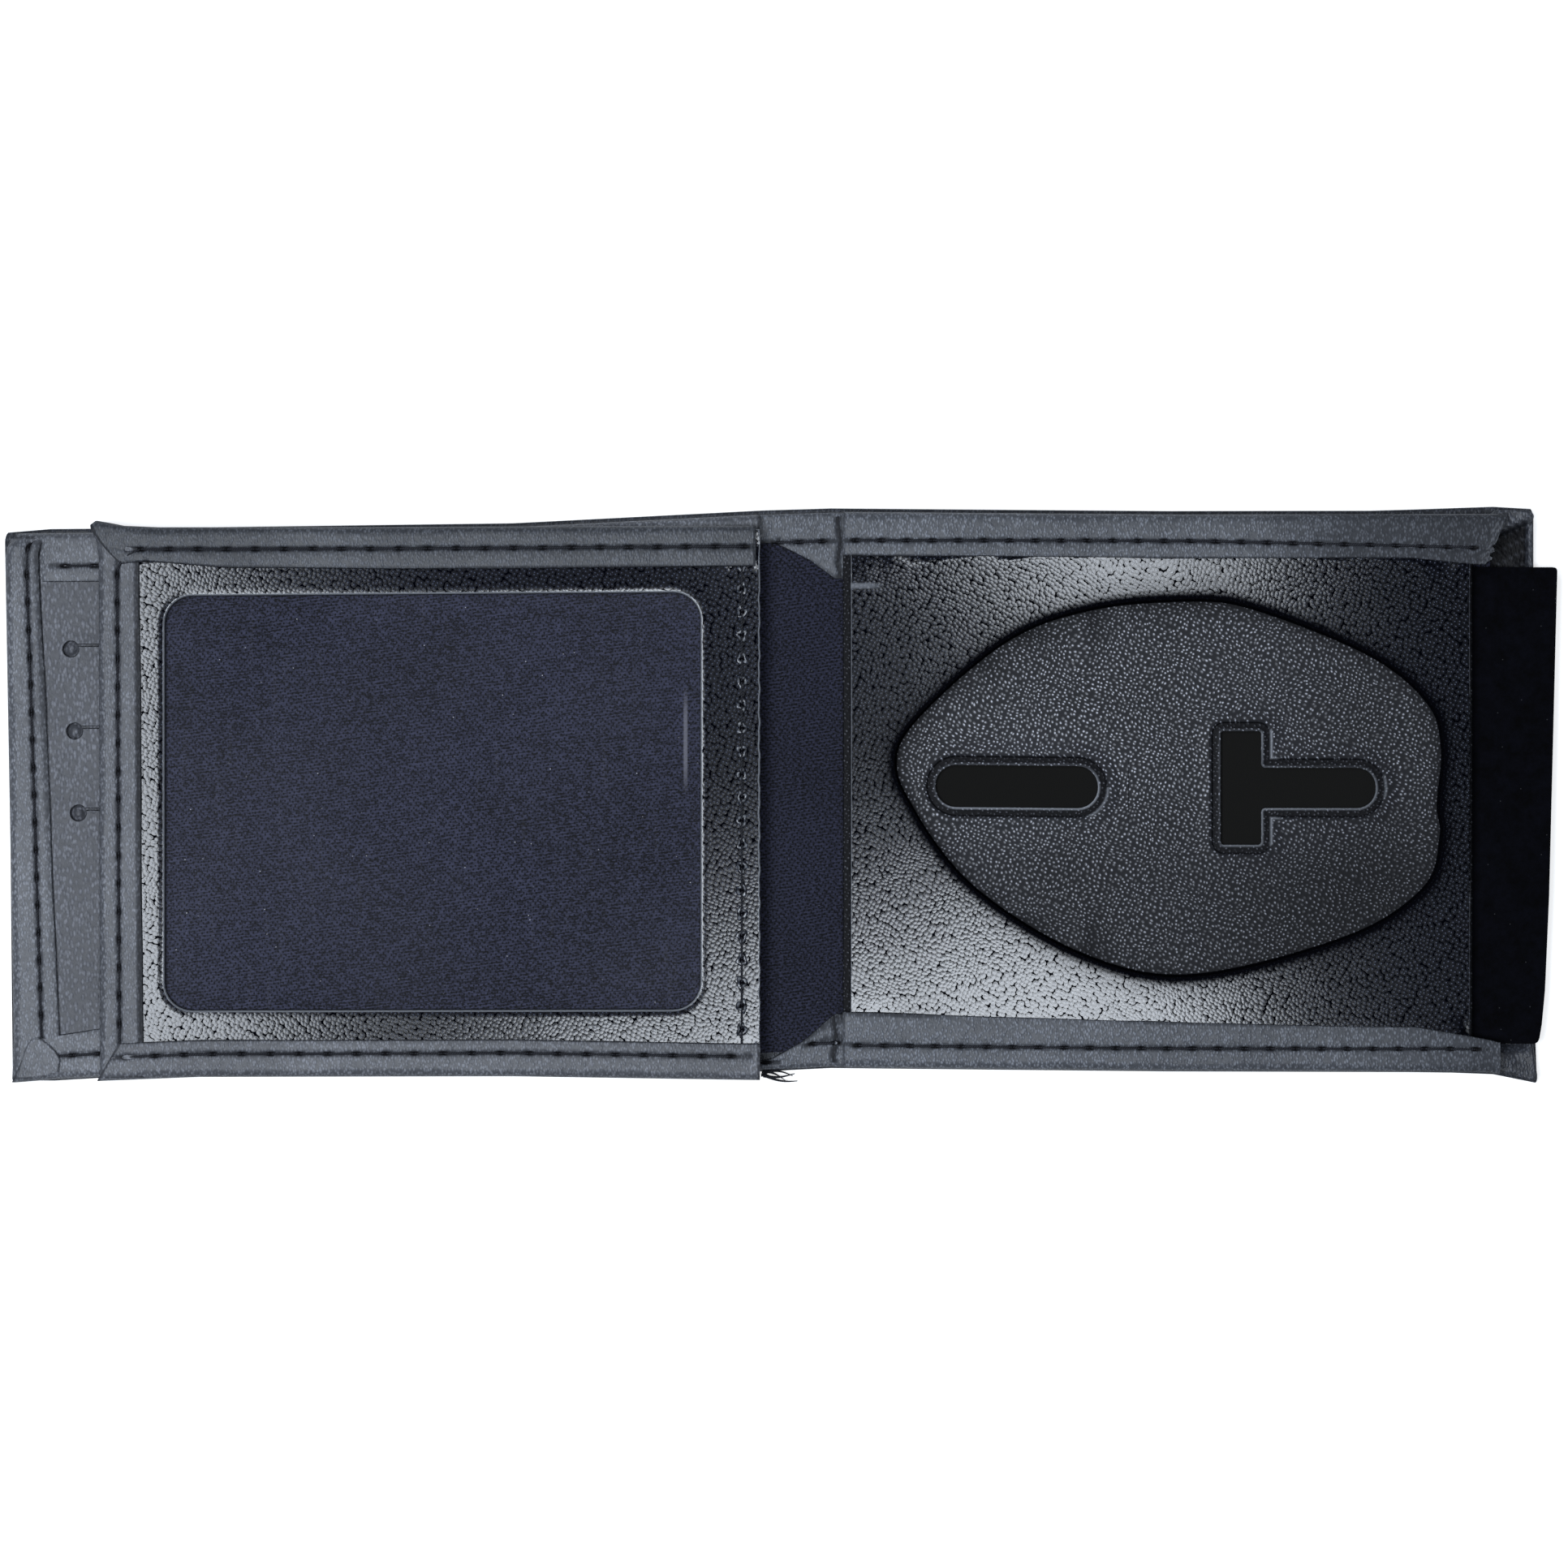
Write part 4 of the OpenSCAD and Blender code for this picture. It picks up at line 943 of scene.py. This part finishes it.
# ---------------------------------------------------------------------------
# Pin guard
# A stiff board faced with black velour, slid in behind the badge so that its pin can't scratch. It
# stands out a few mm at the right and shows as a soft black strip and through both slots.
velour, velour_tree, velour_shader = new_material(
    "black_velour", {"Roughness": 0.95, "Sheen Weight": 0.008, "Sheen Roughness": 0.4, "Specular IOR Level": 0.1}
)
pile_space = mm_space(velour_tree)
nap = ramp(noise(pile_space, 0.5, 5, 0.75), 0.35, 0.65)
velour_base = tint(nap, (0.0001, 0.0001, 0.0005), (0.0016, 0.0018, 0.0042))
velour_base = tint(ramp(cells(pile_space, 0.15), 0.008, 0.015, 0.3, 0.0), velour_base, (0.12, 0.12, 0.13))
velour_base = tint(mark_of(velour_tree, "wear_and_highlight"), velour_base, (0.009, 0.0088, 0.0082))
feed(velour_shader, {"Base Color": velour_base, "Normal": bump(noise(pile_space, 5.0, 3, 0.7), 0.12)})

fibreboard, board_tree, board_shader = new_material("guard_fibreboard", {"Roughness": 0.75})
fibre = noise(mm_space(board_tree), 3.0, 4, 0.7)
board_base = tint(ramp(fibre, 0.3, 0.7), (0.008, 0.008, 0.01), (0.022, 0.022, 0.026))
feed(board_shader, {"Base Color": board_base, "Normal": bump(fibre, 0.03)})
guard_left, guard_right, guard_low, guard_top = 19.85, 113.85, -37.17, 33.23


def guard_ply(name, z_low, z_high, material, slot, node):
    """A ply of the guard. Its right edge is cut a little askew, 0.5 mm longer at the top and 2.4 mm shorter
    at the bottom corner. The part under the badge is made greyer, which shows in the slots."""
    x = stations(guard_left, guard_right, step=4, fine=(112,), edge=0.15)
    skin = flat_sheet(x, guard_low, guard_top, z_low, z_high, edge=0.15, corner=0.6, runs=30)
    askew = np.interp(skin[..., 1], [-37.2, -35.5, -29, -15, 33], [-2.4, -1.9, -1.3, -0.7, 0.5])
    skin[..., 0] += askew * np.clip((skin[..., 0] - 100) / 13, 0, 1)
    covered = np.clip((98 - skin[..., 0]) / 10, 0, 1)
    return fit(piece(name, [skin], material, wear_and_highlight=[covered]), "pin_guard", slot, node)


guard_board = guard_ply("pin_guard_stock", 2.05, 2.55, fibreboard, "guard_board", "pin_guard_board")
guard_velour = guard_ply("pin_guard_pile", 2.55, 2.98, velour, "velour", "pin_guard_velour")

# ---------------------------------------------------------------------------
# Hinge tape of the ID leaf
# A folded strip of black twill sewn to the card panel below and to the leaf above. The leaf turns
# over on it.
tape_leg, tape_outer, tape_inner, tape_z = 6.5, 0.5, 0.3, 4.18
tape_low, tape_top, tape_rows = -32.83, 30.83, 40
tape_fold = np.linspace(-math.pi / 2, math.pi / 2, 9)
tape_arcs = [
    np.stack([radius - tape_outer - radius * (1 - np.cos(tape_fold)), radius * np.sin(tape_fold)], -1)
    for radius in (tape_outer, tape_inner)
]
tape_ends = [[(-tape_leg, height)] for height in (-tape_outer, tape_outer, tape_inner, -tape_inner)]
tape_section = np.concatenate([tape_ends[0], tape_arcs[0], *tape_ends[1:3], tape_arcs[1][::-1], tape_ends[3]])
skin = np.zeros((tape_rows, len(tape_section), 3))
skin[..., 0] = hinge_x + tape_section[:, 0]
skin[..., 1] = np.linspace(tape_low, tape_top, tape_rows)[:, None]
skin[..., 2] = tape_z + tape_section[:, 1]
tape = piece("hinge_tape_cloth", [skin], spine_twill)
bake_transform(tape)
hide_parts("flap_hinge_tape")

# ---------------------------------------------------------------------------
# ID leaf: backing cloth
# Black twill behind the window, sewn in all round with the frame.
leaf_low, leaf_high = (-100.15, -40.92), (hinge_x, 39.17)


def leaf_lie(points):
    """How the leaf hangs on its tape: about 1 mm lower than square, a little more at its free end."""
    hung = points.copy()
    free = np.interp(points[..., 0], [-100, -4], [1, 0])
    up = np.clip((points[..., 1] + 40) / 80, 0, 1)
    hung[..., 1] -= (0.7 + 0.1 * free) * (1 - up) + (0.45 + 0.75 * free) * up
    return hung


backing_twill = twill_cloth("backing_twill", (0.0185, 0.02, 0.036), turn=-0.12, pitch=0.45)
x = stations(leaf_low[0], leaf_high[0], step=6, edge=0.1)
skin = leaf_lie(flat_sheet(x, leaf_low[1], leaf_high[1], z_low=4.75, z_high=5.05, edge=0.1))
backing = fit(piece("leaf_backing_cloth", [skin], backing_twill), "id_flap", "twill", "flap_backing")

# ---------------------------------------------------------------------------
# ID leaf: clear window
# A sheet of clear vinyl under the frame. It is a little hazy, with fine scratches, lint caught under
# it, and one long pale rub near its right side.
vinyl, vinyl_tree, vinyl_shader = new_material("clear_vinyl", {"Roughness": 0.16, "IOR": 1.5})
vinyl_space = mm_space(vinyl_tree)
film = ramp(noise(vinyl_space, 0.035, 2), 0.3, 0.7, 0.006, 0.016)
sparse = ramp(noise(vinyl_space, 0.11, 2, 0.7), 0.44, 0.6)
dust = join("MULTIPLY", ramp(cells(vinyl_space, 0.16), 0.008, 0.016, 0.6, 0.0), sparse)
scratch = noise(mm_space(vinyl_tree, turn=0.9, stretch=(1.0, 0.06, 1.0)), 1.3, 1)
fine_scratch = ramp(scratch, 0.66, 0.72, 0.0, 0.012)
rub = streak(vinyl_tree, (-14.4, 7.6), (0.42, 8.5), 0.22)
feed(vinyl_shader, {
    "Alpha": join("ADD", join("ADD", film, dust), join("ADD", fine_scratch, rub)),
    "Base Color": tint(dust, (0.30, 0.30, 0.36), (0.75, 0.76, 0.8)),
})
vinyl_low, vinyl_high = (-93.55, -33.83), (-9.65, 32.48)
x = stations(vinyl_low[0], vinyl_high[0], step=4, edge=0.08)
skin = leaf_lie(flat_sheet(x, vinyl_low[1], vinyl_high[1], z_low=5.3, z_high=5.5, edge=0.08))
window = fit(piece("leaf_clear_window", [skin], vinyl), "id_flap", "clear_vinyl", "flap_clear_window")

# ---------------------------------------------------------------------------
# ID leaf: window frame
# Glossy pebbled leather with a rounded opening. The opening's edge is cut on a bevel, with a painted
# highlight on the bevel and painted shade down the wall; the right edge is raw and sewn through in one row of
# holes.
frame_leather = pebbled_leather("frame_leather", (0.0012, 0.002, 0.007), 0.03, (0.062, 0.076, 0.115), 0.82)
window_low, window_high, window_round = (-90.95, -31.22), (-12.25, 29.88), 4.0

# Rings round the opening by their distance from its edge, and their heights: wall, bevel (painted
# highlight), face.
window_grows = [0.0, 0.0, 0.09, 0.2, 0.28, 0.4, 1.2]
window_rises = [5.55, 5.75, 5.95, 6.22, 6.33, 6.35, 6.35]
window_corners = rectangle(window_low, window_high)
rings = [square_outline(window_corners, [window_round] * 4, grow, arc=10, between=150) for grow in window_grows]
window_centre = (np.array(window_low) + window_high) / 2
rim_line = to_rectangle(rings[-1], window_centre, leaf_low, leaf_high)
skin = pierced_panel(rings, rim_line, window_rises, z_low=5.55, z_high=6.35, spans=16)
x, y, z = skin[..., 0], skin[..., 1], skin[..., 2]
under_band = (x < -96) | (y > 35.5) | (y < -37.5)
z -= 0.4 * (under_band & (z > 6.1))
x += (x > leaf_high[0] - 0.4) * 0.1 * np.sin(y * 1.9) * np.sin(y * 0.7)
hole, wear_and_highlight = np.zeros(skin.shape[:2]), np.zeros(skin.shape[:2])
# Painted highlight on the bevel, a pale raw right edge, and painted shade down the opening's wall.
wear_and_highlight[:, 2:5] = (0.5, 0.9, 0.5)
wear_and_highlight[rim_line[:, 0] > leaf_high[0] - 0.1, -4:-2] = 0.6
hole[:, 0:3] = (0.9, 0.8, 0.4)
leaf_frame = piece("leaf_window_frame", [leaf_lie(skin)], frame_leather, True, [wear_and_highlight], [hole])
fit(leaf_frame, "id_flap", "pebbled_leather", "flap_window_frame")

# Round each needle hole of the raw edge the leather is pushed up to a ragged pale crater, with painted
# shade in the hole itself.
raw_x, raw_holes = -6.1, np.arange(-37.6, 37.0, 3.4)
crater_out = np.array([1.05, 0.9, 0.72, 0.5, 0.36, 0.1])[:, None]
crater_up = np.array([0.0, 0.1, 0.17, 0.12, 0.03, 0.02])[:, None]
crater_dark = np.array([0, 0, 0, 0.3, 1, 1.0])[:, None]
crater_pale = np.array([0, 0.2, 0.9, 0.8, 0, 0])[:, None]
turn = np.linspace(0, 2 * math.pi, 16, endpoint=False)
crater_skins, crater_holes, crater_worn = [], [], []
for number, y in enumerate(raw_holes):
    ragged = crater_out * (1 + 0.18 * np.sin(3 * turn + 2.4 * number) + 0.12 * np.sin(5 * turn + number))
    lift = 6.34 + crater_up * (1 + 0.3 * np.sin(2 * turn + number))
    skin = np.stack([raw_x + 0.8 * ragged * np.cos(turn), y + ragged * np.sin(turn), lift], -1)
    crater_skins.append(leaf_lie(skin))
    crater_holes.append(np.broadcast_to(crater_dark, lift.shape))
    crater_worn.append(0.6 * crater_pale * (0.5 + 0.5 * np.sin(4 * turn + 1.7 * number)))
craters = piece("leaf_raw_edge_holes", crater_skins, frame_leather, wear_and_highlight=crater_worn, hole=crater_holes)
fit(craters, "id_flap", "pebbled_leather")

# ---------------------------------------------------------------------------
# ID leaf: bands
# Turned strips over the leaf's left, top and bottom edges. The top and bottom strips lap over the left
# one on a slant and are turned round its corners.
leaf_band_leather = smooth_leather("leaf_band_leather", (0.137, 0.144, 0.165), grained=0.3)
# A darker copy of the leaf's band leather: painted shade for the top band.
leaf_top_shaded_leather = smooth_leather("leaf_top_shaded_leather", (0.07, 0.076, 0.09), grained=0.3)
leaf_left_fold = [(-41, -100.6), (35.5, -100.8), (38, -101.1), (39.4, -101.7)]
leaf_top_fold = [(-102, 40.6), (-101.2, 41.2), (-99.4, 40.9), (-97, 40.4), (-92, 40.15), (-60, 39.9), (-4, 39.7)]
leaf_low_fold = [(-101, -41.75), (-95, -41.5), (-86, -41.15), (-40, -41.1), (-4, -41.7)]
# The left band has a strip of painted shade 0.75 mm wide along its raw edge.
band(
    "leaf_band_left", "id_flap", ["flap_band_left"], "left", leaf_left_fold, leaf_lie, leaf_band_leather,
    start=-41.2, end=39.4, reach=[(-41, 6.5), (39, 6.1)], z_low=4.3, z_high=6.7, rim=0.75,
    stitch=[(-41, 3.0), (39, 2.8)], pitch=4.15, holes=(-37.4, 33.2), wave=0.08,
)
band(
    "leaf_band_top", "id_flap", ["flap_band_top"], "top", leaf_top_fold, leaf_lie, leaf_top_shaded_leather,
    start=-102.0, end=-4.05, reach=[(-102, 5.8), (-97, 5.1), (-92, 5.5), (-86, 6.0), (-58, 6.25), (-4, 6.0)],
    z_low=4.3, z_high=6.85, stitch=[(-101, 3.6), (-92, 3.3), (-4, 3.1)], pitch=4.23, holes=(-94.6, -5.8),
    slant=(0.12, 0.0), hook=0.115, wave=0.06,
)
band(
    "leaf_band_bottom", "id_flap", ["flap_band_bottom"], "low", leaf_low_fold, leaf_lie, leaf_band_leather,
    start=-101.0, end=hinge_x, reach=[(-101, 5.5), (-4, 5.4)], z_low=4.3, z_high=6.85,
    stitch=[(-101, 3.4), (-4, 3.5)], pitch=4.23, holes=(-96.6, -6.8), slant=(0.6, 0.0), wave=0.06,
)

# ---------------------------------------------------------------------------
# Thread
# Waxed black thread, sewn as short stitches between the needle holes. Each is a thin spindle that dips
# at both ends; a tail of loose ends is left where the ID half's bottom seam stops at the spine.
thread_wax, thread_tree, thread_shader = new_material(
    "black_thread", {"Roughness": 0.7, "Specular IOR Level": 0.15}
)
twist = add_node(thread_tree, "TexWave", {"Vector": mm_space(thread_tree, turn=0.7), "Scale": 1.2}).outputs["Fac"]
feed(thread_shader, {"Base Color": tint(twist, (0.004, 0.004, 0.006), (0.032, 0.034, 0.042))})


def stitches(starts, ends, radius=0.19, sink=0.34, sides=6, rows=8):
    """Spindles from each start to its end: the centre line dips at both ends as a sine, and the radius
    is drawn in there; one skin per stitch."""
    t = np.linspace(0.03, 0.97, rows)[None, :, None]
    run = ends - starts
    line = starts[:, None, :] + run[:, None, :] * t
    arch = np.sin(math.pi * t[..., 0]) ** 0.6
    line[..., 2] += -sink + 0.24 * arch
    along = run / np.linalg.norm(run, axis=1, keepdims=True)
    side = np.stack([-along[:, 1], along[:, 0], np.zeros(len(along))], -1)
    turn = np.linspace(0, 2 * math.pi, sides, endpoint=False)
    round_side = np.cos(turn)[None, None, :, None] * side[:, None, None, :]
    round_up = np.sin(turn)[None, None, :, None] * np.array([0, 0, 1.0])
    thick = radius * (0.35 + 0.65 * arch[:, :, None, None])
    return line[:, :, None, :] + thick * (round_side + round_up)


# One short seam turns the leaf's upper left corner, and one runs through the raw edge's holes.
corner_path = np.array([(-98.0, 33.4, 6.75), (-97.2, 35.6, 6.9), (-94.6, 36.85, 6.9)])
thread_rows["id_flap"] += [leaf_lie(np.array([(raw_x, y, 6.62) for y in raw_holes])), leaf_lie(corner_path)]
for body, rows in thread_rows.items():
    spans = [row for row in rows if len(row) > 1]
    skins = stitches(np.concatenate([row[:-1] for row in spans]), np.concatenate([row[1:] for row in spans]))
    fit(piece("stitches_" + body, list(skins), thread_wax), body, "band_leather")

# The loose ends: where each starts, how far it runs along X and Y, and how much it curls.
tail_roots = [(-3.2, -41.6), (-2.9, -41.9), (-3.1, -41.4), (-3.0, -42.0), (-2.7, -41.7), (-3.3, -41.9)]
tail_turns = [
    (4.6, -0.4, 0.5), (5.0, -0.9, -0.4), (3.4, -1.3, 0.4), (4.7, 0.3, -0.35), (2.6, 0.2, 0.5), (2.2, -0.8, 0.3)
]
t = np.linspace(0, 1, 9)
turn = np.linspace(0, 2 * math.pi, 5, endpoint=False)
ring = np.stack([np.zeros(5), np.cos(turn), np.sin(turn)], -1) * 0.17
tails = []
for (x0, y0), (dx, dy, curl) in zip(tail_roots, tail_turns):
    centre = np.stack([x0 + dx * t, y0 + dy * t + curl * np.sin(3.2 * t), 1.35 - 0.6 * t], -1)
    tails.append(centre[:, None, :] + ring[None, :, :] * (1.6 - 1.2 * t)[:, None, None])
fit(piece("thread_tail", tails, thread_wax), bend_left, "band_leather")
